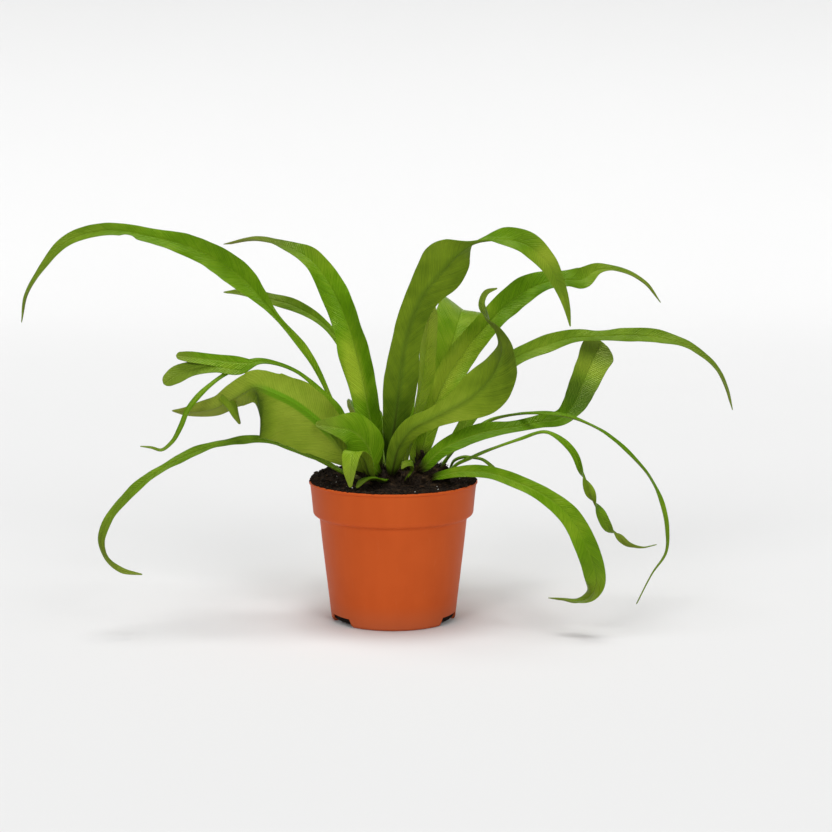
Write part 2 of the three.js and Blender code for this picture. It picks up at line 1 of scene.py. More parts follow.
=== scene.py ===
"""Potted Japanese bird's nest fern: arching strap fronds from one crown in a round plastic pot."""

import math
import random

import bpy
import numpy as np
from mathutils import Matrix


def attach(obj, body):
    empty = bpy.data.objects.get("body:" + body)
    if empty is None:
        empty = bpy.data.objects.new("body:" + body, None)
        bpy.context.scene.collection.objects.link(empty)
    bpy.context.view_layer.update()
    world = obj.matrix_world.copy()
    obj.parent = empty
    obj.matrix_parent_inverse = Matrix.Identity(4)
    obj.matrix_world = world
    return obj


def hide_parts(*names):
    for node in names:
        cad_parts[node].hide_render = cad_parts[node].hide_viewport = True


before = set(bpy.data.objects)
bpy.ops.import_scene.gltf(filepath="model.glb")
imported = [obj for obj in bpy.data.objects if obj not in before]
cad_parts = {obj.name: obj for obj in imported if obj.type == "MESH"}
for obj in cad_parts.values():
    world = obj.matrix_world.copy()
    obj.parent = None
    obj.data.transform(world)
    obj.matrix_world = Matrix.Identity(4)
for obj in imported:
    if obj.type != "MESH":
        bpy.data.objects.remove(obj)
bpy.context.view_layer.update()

MM = 0.001
TURN = 2 * math.pi

# Pot
POT_HEIGHT = 100
POT_RIM_RADIUS = 60
POT_FOOT_RADIUS = 44.6
POT_WALL = 1.4
POT_FLOOR = 1.8
COLLAR_LOW_RADIUS = 57.2
COLLAR_LOW_Z = 78
STEP_RADIUS = 52.6
STEP_Z = 73.5
LIP = 0.8
LIP_HEIGHT = 2
NOTCH_HEIGHT = 6
NOTCH_LOW_WIDTH = 27
NOTCH_TOP_WIDTH = 21
NOTCH_ANGLES = [213, 335, 90]
NOTCH_DEPTH = (37, 57)
POT_SIDES = 192

# Soil and crown
GAP = 0.3
SOIL_LEVEL = 98.4
SOIL_HEAP = 3
SOIL_RADIUS = POT_RIM_RADIUS - LIP - POT_WALL - 2 * GAP - 0.1
CROWN_X = 8
CROWN_Y = 0
CROWN_LONG = 38
CROWN_SHORT = 20.5
CROWN_BOTTOM = 85
CROWN_LEVEL = 98.4
STALK_DEPTH = 8
STALK_RISE = 1.5
STUB_DEPTH = 4
SCALES_PER_STALK = 16
ROOT_FIBRES = 520
CRUMB_REACH = 56.4
RIM_CRUMBS = 900
RIM_CRUMB_REACH = (54.5, 59.6)
RIM_INNER_RADIUS = 57.6

# Blades
STATION_STEP = 1.8
TIP_STEP = 0.7
TIP_WIDTH = 0.4
LEAST_WIDTH = 0.9
BLUNT_TIP = 5.0
POINTED_TIP = 1.2
EDGE = 0.25
FACE_RISE = 0.15
MARGIN = 0.8
RIB = 1.5
STALK = 3
STALK_FADE = 35
INNER_ROWS = [(0.32, 0.05), (0.7, 0.11), (1.2, 0.18), (1.9, 0.27)]
OUTER_ROWS = [0.38, 0.5, 0.62, 0.73, 0.83, 0.91, 0.97, 1.0]

# Light and camera, in metres and degrees
LIGHTS = [
    ("overhead", (0.0, 0.12, 2.0), 34, 2.12),
    ("front_left", (-0.95, -1.6, 1.15), 22, 0.85),
    ("front_right", (0.85, -1.6, 1.15), 22, 0.85),
]
LIT_PLACE = (0.0, 0.0, 0.12)
SKY = {"Color": (0.98, 0.99, 1.0, 1), "Strength": 0.13}
CAMERA_PLACE = (0.0162, -1.5, 0.3656)
CAMERA_TARGET = (0.0162, 0.0, 0.1459)
CAMERA_LENS = 92.47
SENSOR_WIDTH = 36
FLOOR_FRONT = -4.0
FLOOR_BACK = 2.0
FLOOR_HALF_WIDTH = 5.0
WALL_BEND = 1.2

# Each key is [x, y, z, width, tilt]: a place on the midrib, the blade's width there in millimetres,
# and how far its upper face is turned toward the front; a sixth value is the share moved to the far
# half. heading is the way the frond grows, fold the angle of each half of the blade, wave the rise of
# the margins, waves how many there are and phase where they begin, hang how far the near and the far
# half hang back toward the root, and nicks are [distance along, side, depth, length] on a margin.
# The colour of a frond: fresh is how yellow and light the green is on the upper face and below, dark
# how far up from the crown the stalk is brown, rib_dark how far up the rib below is dark, olive how
# olive the blade is and how olive its tip, shades are patches of painted highlight and painted shade
# [distance along, place across, length, breadth, how much lighter the green is painted, below 0 how
# much darker], and channels [distance along, length] are stretches with a green rib.
# USUAL holds what a frond doesn't say itself.
USUAL = dict(fold=16, wave=1.5, waves=3, phase=0.1, dark=0, rib_dark=45, olive=(0.03, 0.6), hang=(0, 0),
             nicks=[], shades=[], channels=[])
FRONDS = [
    dict(name="far_left", heading=168, fold=22, wave=2, waves=4, fresh=(0.46, 0.4), dark=30,
         nicks=[(268, 1, 0.4, 5)], keys=[
        [-17, 7, 103, 4.5, 20], [-25, 10, 116, 4.5, 20], [-42, 14, 150, 5, 20], [-63, 20, 189, 7, 35],
        [-87, 28, 217.5, 6, 60], [-97, 32, 229, 13, 70], [-108, 36, 240, 20, 75], [-140, 44, 260, 18, 70],
        [-176, 50, 270, 13, 60], [-210, 54, 274, 11, 60], [-237, 54, 266, 10, 60], [-256, 50, 245, 8, 50],
        [-267, 46, 226, 4.5, 40], [-270, 44, 208, 1, 30]]),
    # upper_left: its first shade paints a glossy highlight low on the blade.
    dict(name="upper_left", heading=150, fold=24, wave=3, waves=4, phase=0.4, fresh=(0.4, 0.6), dark=16,
         shades=[(84, 0.4, 20, 0.6, 1.0), (175, 0, 16, 3, 0.2)], olive=(0.0, 1.0), keys=[
        [-10, 6, 105, 4.5, 60], [-12, 10, 116, 10, 60], [-18.5, 18, 151, 21, 70], [-25, 28, 179, 24, 75],
        [-33, 38, 207, 23, 70], [-44.5, 50, 231, 22, 55], [-60, 64, 251, 17, 40], [-80, 78, 261, 11, 25],
        [-104, 92, 265, 8, 15], [-128, 102, 261, 1, 10]]),
    dict(name="behind_left", heading=135, fold=20, phase=0.2, fresh=(0.45, 0.4), dark=20, olive=(0.2, 0.6),
         keys=[
        [-13, 13, 101, 4, 30], [-17, 20, 118, 7, 30], [-23, 38, 146, 8, 35], [-31, 60, 177, 8, 35],
        [-51, 80, 202, 7, 40], [-73, 96, 214, 10, 40], [-96, 110, 219.5, 11, 40], [-115, 122, 222.5, 9, 35],
        [-131, 130, 222.5, 1, 30]]),
    dict(name="forked", heading=182, fold=10, wave=1, waves=2, phase=0.2, fresh=(0.4, 0.35), dark=26, keys=[
        [-23, -1, 101, 4, 50], [-31, 1, 123, 8, 60], [-41, 4, 148, 12, 60], [-54, 8, 164, 6, 40],
        [-68, 8, 176, 3.6, 30], [-82, 5, 182.5, 3.6, 30], [-95, 0, 185, 6, 40], [-108, -4, 181, 12, 50],
        [-125, -8, 183, 12, 60], [-142, -12, 180.5, 12, 60], [-153, -15, 176, 13, 60],
        [-160.5, -17, 171, 8, 60]]),
    # hooded: its first two shades are painted shade, at the near half's curled end and the far half's foot.
    dict(name="hooded", heading=195, fold=30, wave=3, waves=2.2, phase=0.35, hang=(0.15, 0.5),
         fresh=(0.6, 0.72), dark=12, rib_dark=12,
         shades=[(116, -0.75, 13, 0.7, -1.0), (48, 0.9, 22, 0.7, -0.5), (150, -0.4, 16, 0.8, 0.2)],
         channels=[(82, 30)], olive=(0.12, 0.7), keys=[
        [-15, -5, 104, 5, -60, -0.15], [-25, -12, 113, 9, -80, -0.15], [-36, -16, 124, 22, -92, -0.15],
        [-46, -20, 138, 41, -98, -0.15], [-59, -24, 151, 50, -100, -0.15], [-71, -27, 160, 52, -100, -0.2],
        [-82, -28, 165.5, 54, -98, -0.3], [-91, -27, 169, 52, -95, -0.35], [-96, -25, 170, 30, -92, -0.15],
        [-104, -22, 166, 26, -85, -0.15], [-114, -18, 160, 23, -80, -0.15], [-125, -14, 154, 19, -75, -0.15],
        [-137, -12, 151.5, 16, -70, -0.15], [-147, -10, 150.5, 9, -70, -0.15],
        [-156, -9, 151, 1, -70, -0.15]]),
    dict(name="front_left", heading=205, fold=14, wave=3, waves=1.5, phase=0.7, fresh=(0.42, 0.5), dark=8,
         keys=[
        [-9, -7, 105, 5, 80], [-13, -12, 111, 9, 80], [-18, -15, 127, 24, 80], [-29, -19, 138, 28, 75],
        [-40, -23, 141, 17, 60], [-54, -27, 144, 4, 50]]),
    dict(name="front_drooping", heading=250, fold=14, wave=1, waves=1.5, phase=0.7, fresh=(0.68, 0.6),
         dark=10, keys=[
        [-14, -14, 102, 4, 0], [-17, -23, 111, 8, 0], [-21, -33, 123, 12, 0], [-27, -39, 126, 15, 0],
        [-29, -45, 118, 12, 0], [-29, -48, 103, 2, 0]]),
    dict(name="front_low", heading=230, fold=14, wave=1, waves=1.5, phase=0.7, fresh=(0.4, 0.5), dark=8,
         keys=[
        [-4, -14, 102, 4, 0], [-8, -23, 104, 7, 0], [-14, -31, 107, 9, 0], [-20, -38, 106, 8, 0],
        [-25, -44, 102, 2, 0]]),
    dict(name="low_left", heading=200, wave=1, waves=6, phase=0.2, fresh=(0.4, 0.4), dark=22,
         olive=(0.25, 0.8), keys=[
        [-22, -8, 101, 4, 30], [-32, -7, 105, 4.5, 30], [-46, -5, 112, 6, 35], [-66, -3, 121, 7, 35],
        [-93, -5, 129, 7, 35], [-116, -20, 130, 7, 35], [-138, -32, 125, 7, 40], [-161, -42, 114, 7, 40],
        [-183, -49, 97, 7, 45], [-196, -53, 81, 6.5, 60], [-201, -54, 67, 5.5, 100], [-198, -54, 55, 5, 140],
        [-188, -54, 46, 5, 140], [-173, -54, 43, 1, 140]]),
    # tall: its shades are painted shade low by the crown and on one half, and a painted highlight by the
    # tip.
    dict(name="tall", heading=-15, fold=22, wave=2.5, waves=4, fresh=(0.5, 0.42), dark=14, rib_dark=75,
         shades=[(25, 0, 40, 3, -0.55), (246, 0.3, 10, 1.2, 0.6), (150, 0.7, 40, 0.7, -0.15)],
         olive=(0.0, 0.45), keys=[
        [-2, 1, 105, 5, -70], [-2, -4, 119, 9, -75], [1, -7, 140, 18, -78], [5, -11, 170, 26, -80],
        [9.5, -15, 202, 22, -80], [19.5, -21, 231, 25, -80], [36, -26, 253, 36, -70],
        [46, -30, 264, 28, -45], [57, -33, 271, 9, -8], [74, -36, 273, 18, 30], [91, -38, 270, 18.5, 60],
        [105, -40, 259, 14.5, 75], [114, -41, 243, 9.5, 80], [119.5, -42, 227, 5, 80],
        [122, -42, 214, 1, 80]]),
    # young: its light yellow green is partly its own colour and partly painted light shining through it.
    dict(name="young", heading=80, fold=24, wave=1, waves=2, fresh=(0.85, 0.85), dark=12, keys=[
        [8, 6, 104, 4.5, 85], [10, 7, 120, 8, 80], [16, 8, 148, 13, 65], [22, 9, 178, 16, 55],
        [24, 12, 204, 16, 50], [26, 16, 217, 12, 50], [27, 20, 226, 5, 50]]),
    dict(name="back_arching", heading=75, waves=2, fresh=(0.68, 0.9), dark=12, keys=[
        [14, 13, 104, 5, 0], [17, 20, 118, 11, 0], [25, 32, 143, 21, 8], [34, 46, 167, 31, 14],
        [43, 62, 191, 36, 20], [48, 78, 206, 38, 22], [51, 96, 212, 37, 22], [54, 114, 207, 32, 16],
        [56, 130, 193, 22, 6], [57, 139, 178, 4, 0]]),
    # right_back: its shades are a painted highlight low on the blade and painted shade further out.
    dict(name="right_back", heading=35, fold=24, wave=3, waves=5, fresh=(0.62, 0.6), dark=18,
         shades=[(168, 0, 30, 3, -0.42), (78, 0.2, 26, 0.6, 0.6), (225, 0, 25, 3, -0.1)], keys=[
        [18, 6, 111, 4.5, 60], [21, 11, 120, 10.5, 60], [26, 19, 139, 16, 60], [35, 29, 162, 21, 60],
        [49, 39, 184, 22, 60], [67, 48, 205, 20, 55], [84, 56, 221, 21, 50], [104, 63, 233, 20, 50],
        [124, 70, 236.5, 18, 45], [138, 75, 236.5, 18, 45], [150, 80, 243, 10.5, 40],
        [174, 87, 240.5, 6.5, 40], [189, 90, 231, 4, 40], [199, 92, 218, 1, 40]]),
    dict(name="right", heading=12, fold=18, waves=4, fresh=(0.45, 0.5), dark=34, olive=(0.3, 0.7), keys=[
        [29, 5, 112, 4, 40], [39, 12, 120, 8, 40], [52, 16, 138, 11, 45], [66, 20, 158, 13, 45],
        [89, 22, 185.5, 14, 45], [109, 22, 193.5, 14, 45], [128, 22, 199, 13, 45], [146, 22, 200, 12, 40],
        [169, 22, 201, 12, 45], [191, 22, 199, 11.5, 45], [213, 22, 192, 9.5, 40], [231, 22, 178, 6, 40],
        [240, 22, 161, 4, 30], [244, 22, 147, 1, 30]]),
    # curled: its shades are painted shade, low by the crown and on the upper part where the blade turns.
    dict(name="curled", heading=-20, fold=14, wave=3, waves=2.5, phase=0.55, fresh=(0.5, 0.62), dark=12,
         shades=[(22, 0, 26, 3, -0.5), (128, 0.2, 22, 3, -0.35), (160, 0, 16, 3, -0.5)], keys=[
        [-1, -7, 104, 5, -60], [0, -14, 112, 10, -60], [4, -19, 127, 14, -60], [14, -24, 141, 15, -70],
        [27, -28, 148, 15, -85], [41, -32, 155.5, 20, -95], [54, -36, 163.5, 30, -100],
        [66, -39, 175, 35, -105], [73.5, -41, 188, 29, -110], [76, -42, 201, 20, -125],
        [71.5, -42, 211, 15, -145], [64.5, -41, 220, 10, -175], [61, -40, 230, 5, -225],
        [64, -39, 237, 4, -250], [72, -38, 240, 1, -270]]),
    # right_turned: its shades are painted shade at the foot of the upturned end and a painted highlight
    # band.
    dict(name="right_turned", heading=20, fresh=(0.35, 0.5), dark=16,
         shades=[(148, 0, 16, 3, -0.4), (172, 0, 10, 3, 0.45)], keys=[
        [17, -6, 107.5, 4.5, 40], [22, -10, 111.5, 9, 40], [33, -12, 122.5, 12, 45], [49, -12, 131, 14, 45],
        [66, -10, 136, 14, 45], [84, -6, 138.5, 11, 45], [104, 3, 141, 11, 45], [121, 12, 143, 13, 55],
        [130, 20, 152, 18, 65], [136, 28, 164, 21.5, 72], [142.5, 36, 177, 24.5, 75],
        [148.5, 43, 188, 26, 75], [152.5, 46, 193, 17, 75]]),
    dict(name="long_thin", heading=-5, wave=0.6, waves=5, fresh=(0.4, 0.4), dark=8, keys=[
        [33, -1, 108, 3.4, 20], [40, 1, 118, 3.4, 20], [52, 4, 131, 3.4, 15], [70, 5, 142.5, 3.6, 10],
        [89, 1, 147.5, 3.8, 10], [107, -8, 149, 3.8, 15], [129, -15, 146, 3.6, 20], [147, -18, 138, 3.4, 20],
        [165, -19, 123, 3.4, 20], [181, -19, 105, 3.4, 25], [190, -20, 85, 3.4, 50], [193, -21, 69, 3.2, 60],
        [192.5, -22, 52, 2.4, 60], [183, -23, 37, 1.2, 60], [172, -24, 15, 0.9, 60]]),
    dict(name="twisted", heading=-20, fold=8, wave=0.6, waves=5, fresh=(0.4, 0.45), dark=10, keys=[
        [36, -8, 102, 3.4, 20], [44, -12, 113, 3.4, 20], [54, -14, 118, 3.4, 20], [68, -16, 124.5, 3.2, 20],
        [89, -20, 132.5, 3.4, 20], [107, -24, 138, 4, 20], [119, -27, 132, 4.6, 50],
        [127.5, -29, 122, 5.2, 80], [131.5, -31, 112, 6, 130], [134.5, -32, 104, 7, 200],
        [139, -33, 94, 7.4, 290], [145, -34, 82, 7.6, 400], [151, -35, 72, 7.4, 470], [157, -36, 67, 6, 560],
        [164, -37, 61, 4.4, 640], [174, -38, 59, 2.4, 700], [184, -39, 61, 0.9, 740]]),
    dict(name="low_right", heading=-28, fresh=(0.5, 0.45), dark=14, keys=[
        [26, -12, 102, 5, 50], [36, -20, 107, 8, 50], [49, -27, 110.5, 9.5, 50], [66, -34, 111, 9.5, 50],
        [85, -41, 106, 10.5, 55], [104.5, -47, 97.5, 12, 58], [121, -53, 85, 14.5, 60],
        [131.5, -57, 68, 16.5, 65], [138.5, -59, 50, 16, 80], [140, -59, 36, 15, 100],
        [136, -56, 27.5, 14, 140], [127, -53, 23.5, 8, 170], [118, -51, 25, 4, 190],
        [108, -49.5, 25.5, 1, 200]]),
    dict(name="dry_strand", heading=-20, fold=8, wave=0.3, waves=2, fresh=(0.25, 0.1), dark=9, keys=[
        [39, 1, 102, 2.8, 20], [43, -1, 114, 2.8, 20], [50, -3, 117, 2.8, 20], [56, -5, 117, 2.8, 20],
        [63, -7, 116, 3, 20], [70, -9, 111, 3, 20], [76, -11, 106, 1, 20]]),
    dict(name="small", heading=200, fold=14, wave=0.3, waves=2, fresh=(0.5, 0.5), dark=6, keys=[
        [9, -12, 101, 2.8, 20], [14, -16, 111, 4, 20], [13, -20, 115, 7, 30], [9, -23, 115, 6, 30],
        [6, -25, 112, 1, 30]]),
    dict(name="back_left", heading=115, fold=18, fresh=(0.4, 0.5), dark=16, keys=[
        [-6, 15, 101, 4.5, 0], [-10, 30, 117, 12, 0], [-16, 48, 132, 18, 0], [-22, 70, 141, 20, 0],
        [-27, 94, 142, 18, 0], [-29, 118, 132, 12, 0], [-30, 134, 114, 1, 0]]),
    dict(name="back_middle", heading=94, fold=18, phase=0.3, fresh=(0.5, 0.5), dark=16, keys=[
        [2, 13, 101, 4.5, 0], [5, 28, 120, 13, 0], [5, 48, 145, 21, 0], [5, 72, 161, 24, 0],
        [5, 98, 165, 22, 0], [5, 124, 154, 15, 0], [5, 142, 131, 1, 0]]),
]

# Side lobes, drawn in the piece of the frond they leave.
LOBES = [
    dict(of="forked", heading=182, fold=10, wave=0.6, waves=1, phase=0.2, fresh=(0.45, 0.35), keys=[
        [-98, -1, 183.5, 5, 50], [-108, -3, 184, 10, 55], [-122, -6, 186, 9.5, 60], [-135, -9, 188, 9, 60],
        [-145, -11, 189.5, 8, 60], [-152, -12, 190.5, 5, 60]]),
    dict(of="forked", heading=182, fold=10, wave=0.6, waves=1, phase=0.2, fresh=(0.35, 0.3), keys=[
        [-107, -3, 182, 4, 40], [-118, -9, 177, 3, 40], [-127, -15, 171, 3, 50], [-136, -21, 163, 4, 70],
        [-143, -24, 154, 3.8, 80], [-148, -26, 142, 3.8, 80], [-154.5, -28, 131, 3, 60],
        [-161.5, -29, 126, 2.6, 40], [-168, -30, 128, 2, 40], [-176, -30, 129, 0.8, 40]]),
    dict(of="hooded", heading=195, fold=10, wave=0.3, waves=1, phase=0.2, fresh=(0.5, 0.45), keys=[
        [-120, -15, 162, 7, -75], [-114, -17, 157, 8, -75], [-110, -19, 149, 5, -75],
        [-107, -20, 143, 1.6, -75]]),
]

# Dead stalk stubs on the crown: [x, y, lean toward x, lean toward y, length, radius]
STUBS = [
    [22, 0, -3, -4, 12, 1.7], [27, 8, 3, 3, 11, 1.5], [12, 1, -3, -2, 10, 1.6], [21, -14, 2, -5, 8, 1.4],
    [32, -7, 4, -3, 9, 1.3], [35, 5, 5, 2, 9, 1.4], [-5, 1, -2, 2, 8, 1.5], [4, -6, 1, -4, 9, 1.5],
    [-2, 8, -1, 3, 8, 1.4], [8, 14, 1, 4, 9, 1.5],
]


# Small helpers

def unit(vectors):
    return vectors / np.linalg.norm(vectors, axis=-1, keepdims=True)


def smooth_noise(places, seed):
    """A smooth repeatable signal between about -1 and 1 over places of one or two columns."""
    draw = random.Random(seed)
    total = np.zeros(places[0].shape)
    for octave in range(5):
        scale = 1.0 + 0.62 * octave
        phase = draw.uniform(0, TURN)
        for place in places:
            phase = phase + scale * draw.choice([-1, 1]) * draw.uniform(0.6, 1.4) * place
        total = total + np.sin(phase) / (1 + 0.7 * octave)
    return total / 2.2


def ramp(value, low, high):
    """0 at low, 1 at high, smooth in between; low may be the larger."""
    part = np.clip((value - low) / (high - low), 0, 1)
    return part * part * (3 - 2 * part)


def add_mesh(name, points, faces):
    """A smooth mesh of points in metres."""
    mesh = bpy.data.meshes.new(name)
    mesh.from_pydata(np.asarray(points).tolist(), [], faces)
    mesh.polygons.foreach_set("use_smooth", np.ones(len(faces), bool))
    thing = bpy.data.objects.new(name, mesh)
    bpy.context.scene.collection.objects.link(thing)
    return thing


def add_piece(name, points, faces, materials, face_slots=None, marks=None):
    """A mesh of points in millimetres, riding on the plant's one body."""
    piece = add_mesh(name, np.asarray(points) * MM, faces)
    mesh = piece.data
    for look in materials:
        mesh.materials.append(look)
    if face_slots:
        mesh.polygons.foreach_set("material_index", np.asarray(face_slots, np.int32))
    for label, values in (marks or {}).items():
        attribute = mesh.attributes.new(label, "FLOAT_VECTOR", "POINT")
        attribute.data.foreach_set("vector", np.asarray(values, np.float32).ravel())
    mesh.update()
    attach(piece, "root")
    return piece


def closed_faces(sides, rings):
    """Faces over a first point, rings of points going outward and up from it, and a last point."""
    end, faces = 1 + rings * sides, []

    def at(ring, k):
        return 1 + (ring - 1) * sides + k % sides

    for k in range(sides):
        faces.append((0, at(1, k + 1), at(1, k)))
        faces.append((end, at(rings, k), at(rings, k + 1)))
        for ring in range(1, rings):
            faces.append((at(ring, k), at(ring, k + 1), at(ring + 1, k + 1), at(ring + 1, k)))
    return faces


def ring_faces(start, sides, steps):
    """Side faces over steps + 1 rings of points, the first of them numbered from start."""
    faces = []
    for a in range(start, start + steps * sides, sides):
        b = a + sides
        faces += [(a + k, a + (k + 1) % sides, b + (k + 1) % sides, b + k) for k in range(sides)]
    return faces


def end_faces(start, sides, steps):
    """The faces that close the first and the last of those rings."""
    last = start + steps * sides
    return [tuple(range(start + sides - 1, start - 1, -1)), tuple(range(last, last + sides))]


# Materials

def set_inputs(tree, node, inputs):
    for socket, value in inputs.items():
        if isinstance(value, bpy.types.NodeSocket):
            tree.links.new(value, node.inputs[socket])
        else:
            node.inputs[socket].default_value = value


def add_node(tree, kind, inputs=None, **settings):
    made = tree.nodes.new(kind)
    for label, value in settings.items():
        setattr(made, label, value)
    set_inputs(tree, made, inputs or {})
    return made


def calculate(tree, operation, first, second=0.0, third=0.0):
    node = add_node(tree, "ShaderNodeMath", {0: first, 1: second, 2: third}, operation=operation)
    return node.outputs[0]


def multiply(tree, first, second):
    return calculate(tree, "MULTIPLY", first, second)


def between(tree, value, low, high, to_low=0.0, to_high=1.0):
    inputs = {"Value": value, "From Min": low, "From Max": high, "To Min": to_low, "To Max": to_high}
    return add_node(tree, "ShaderNodeMapRange", inputs, interpolation_type="SMOOTHSTEP").outputs[0]


def blend_colours(tree, share, first, second):
    node = add_node(tree, "ShaderNodeMix", {0: share, 6: first, 7: second}, data_type="RGBA")
    return node.outputs[2]


def layered(tree, colour, layers):
    """The colour with each layer, a share and a shade, laid over it in turn."""
    for share, shade in layers:
        colour = blend_colours(tree, share, colour, shade)
    return colour


def noise(tree, vector, scale, detail=2.0, roughness=0.5):
    inputs = {"Vector": vector, "Scale": scale, "Detail": detail, "Roughness": roughness}
    return add_node(tree, "ShaderNodeTexNoise", inputs).outputs["Fac"]


def colour_ramp(tree, value, shades):
    """A colour from three shades, each a place from 0 to 1 and its colour."""
    node = add_node(tree, "ShaderNodeValToRGB", {0: value})
    stops = node.color_ramp.elements
    stops[0].position, stops[0].color = shades[0]
    stops[1].position, stops[1].color = shades[2]
    stops.new(shades[1][0]).color = shades[1][1]
    return node.outputs[0]


def new_material(name):
    look = bpy.data.materials.new(name)
    look.use_nodes = True
    return look, look.node_tree, look.node_tree.nodes["Principled BSDF"]


def object_place(tree):
    return add_node(tree, "ShaderNodeTexCoord").outputs["Object"]


def bump(tree, height, distance):
    inputs = {"Height": height, "Distance": distance, "Strength": 1.0}
    return add_node(tree, "ShaderNodeBump", inputs).outputs[0]


UPPER_GREENS = [(0.0, (0.034, 0.115, 0.002, 1)), (0.45, (0.108, 0.245, 0.003, 1)),
                (1.0, (0.3, 0.425, 0.024, 1))]
UNDER_GREENS = [(0.0, (0.045, 0.095, 0.004, 1)), (0.5, (0.175, 0.27, 0.014, 1)),
                (1.0, (0.31, 0.41, 0.036, 1))]
PALE_RIB = (0.24, 0.38, 0.03, 1)
BESIDE_RIB = (0.075, 0.15, 0.012, 1)
DARK_RIB = (0.026, 0.024, 0.006, 1)
GREEN_CHANNEL = (0.105, 0.27, 0.004, 1)
PALE_MARGIN = (0.2, 0.32, 0.02, 1)
FRECKLE = (0.16, 0.17, 0.02, 1)
OLIVE = (0.2, 0.2, 0.04, 1)
STALK_BROWN = (0.022, 0.013, 0.006, 1)


def mark_parts(tree, label):
    """The three values of a mark that the points of a blade carry."""
    mark = add_node(tree, "ShaderNodeAttribute", attribute_name=label).outputs["Vector"]
    return add_node(tree, "ShaderNodeSeparateXYZ", {0: mark}).outputs


def leaf_material(name, upper):
    """Green blade with side veins running out and forward from the midrib."""
    look, tree, shader = new_material(name)
    leaf, tint = mark_parts(tree, "leaf"), mark_parts(tree, "tint")
    across = calculate(tree, "ABSOLUTE", leaf[0])
    edge = calculate(tree, "ABSOLUTE", leaf[2])
    half = calculate(tree, "GREATER_THAN", leaf[0], 0.0)
    place = object_place(tree)

    vein = calculate(tree, "MULTIPLY_ADD", across, -1.25, leaf[1])
    streak_place = add_node(tree, "ShaderNodeCombineXYZ", {
        0: multiply(tree, vein, 0.62),
        1: calculate(tree, "MULTIPLY_ADD", half, 37.0, multiply(tree, across, 0.05)),
        2: tint[0],
    }).outputs[0]
    streaks = noise(tree, streak_place, 1.0, 3.0, 0.6)
    wander = multiply(tree, streaks, 5.0)
    ridges = calculate(tree, "SINE", calculate(tree, "MULTIPLY_ADD", vein, TURN / 2.1, wander))
    cloud = noise(tree, place, 42.0, 3.0, 0.55)
    grain = noise(tree, place, 900.0, 2.0, 0.6)

    # tint[0] is the frond's fresh green with the painted highlights and painted shade of its shades.
    green = calculate(tree, "MULTIPLY_ADD", calculate(tree, "SUBTRACT", cloud, 0.5), 0.8, tint[0])
    green = calculate(tree, "MULTIPLY_ADD", calculate(tree, "SUBTRACT", streaks, 0.5), 0.38, green)
    green = calculate(tree, "MULTIPLY_ADD", ridges, 0.03, green)
    colour = colour_ramp(tree, green, UPPER_GREENS if upper else UNDER_GREENS)

    rib = between(tree, across, 1.15, 0.35)
    if upper:
        pale = multiply(tree, rib, between(tree, leaf[1], 130.0, 30.0, 0.12, 0.4))
        layers = [(pale, PALE_RIB)]
    else:
        beside = multiply(tree, between(tree, across, 3.2, 1.0), 0.35)
        dark = multiply(tree, rib, calculate(tree, "MULTIPLY_ADD", tint[2], 0.75, 0.12))
        channel = multiply(tree, between(tree, across, 4.2, 2.2), between(tree, tint[2], 0.0, -1.0))
        layers = [(beside, BESIDE_RIB), (dark, DARK_RIB), (channel, GREEN_CHANNEL)]
    rim = multiply(tree, between(tree, edge, 0.95, 1.0), 0.15)
    specks = between(tree, noise(tree, place, 260.0, 4.0, 0.7), 0.7, 0.77)
    olive = calculate(tree, "MAXIMUM", multiply(tree, tint[1], -0.7), 0.0)
    patches = between(tree, noise(tree, place, 300.0), 0.1, 0.5, 0.75, 1.0)
    brown = multiply(tree, calculate(tree, "MAXIMUM", tint[1], 0.0), patches)
    layers += [(rim, PALE_MARGIN), (multiply(tree, specks, 0.4), FRECKLE), (olive, OLIVE),
               (brown, STALK_BROWN)]
    colour = layered(tree, colour, layers)

    low, high = (0.24, 0.44) if upper else (0.46, 0.66)
    relief = calculate(tree, "MULTIPLY_ADD", streaks, 1.3, multiply(tree, ridges, 0.22))
    relief = calculate(tree, "MULTIPLY_ADD", grain, 0.18, relief)
    set_inputs(tree, shader, {
        "Base Color": colour,
        "Roughness": between(tree, streaks, 0.25, 0.75, low, high),
        "IOR": 1.45,
        "Specular IOR Level": 0.36 if upper else 0.14,
        "Specular Tint": (0.85, 1.0, 0.12, 1),
        "Normal": bump(tree, relief, 0.00042 if upper else 0.0003),
    })
    return look


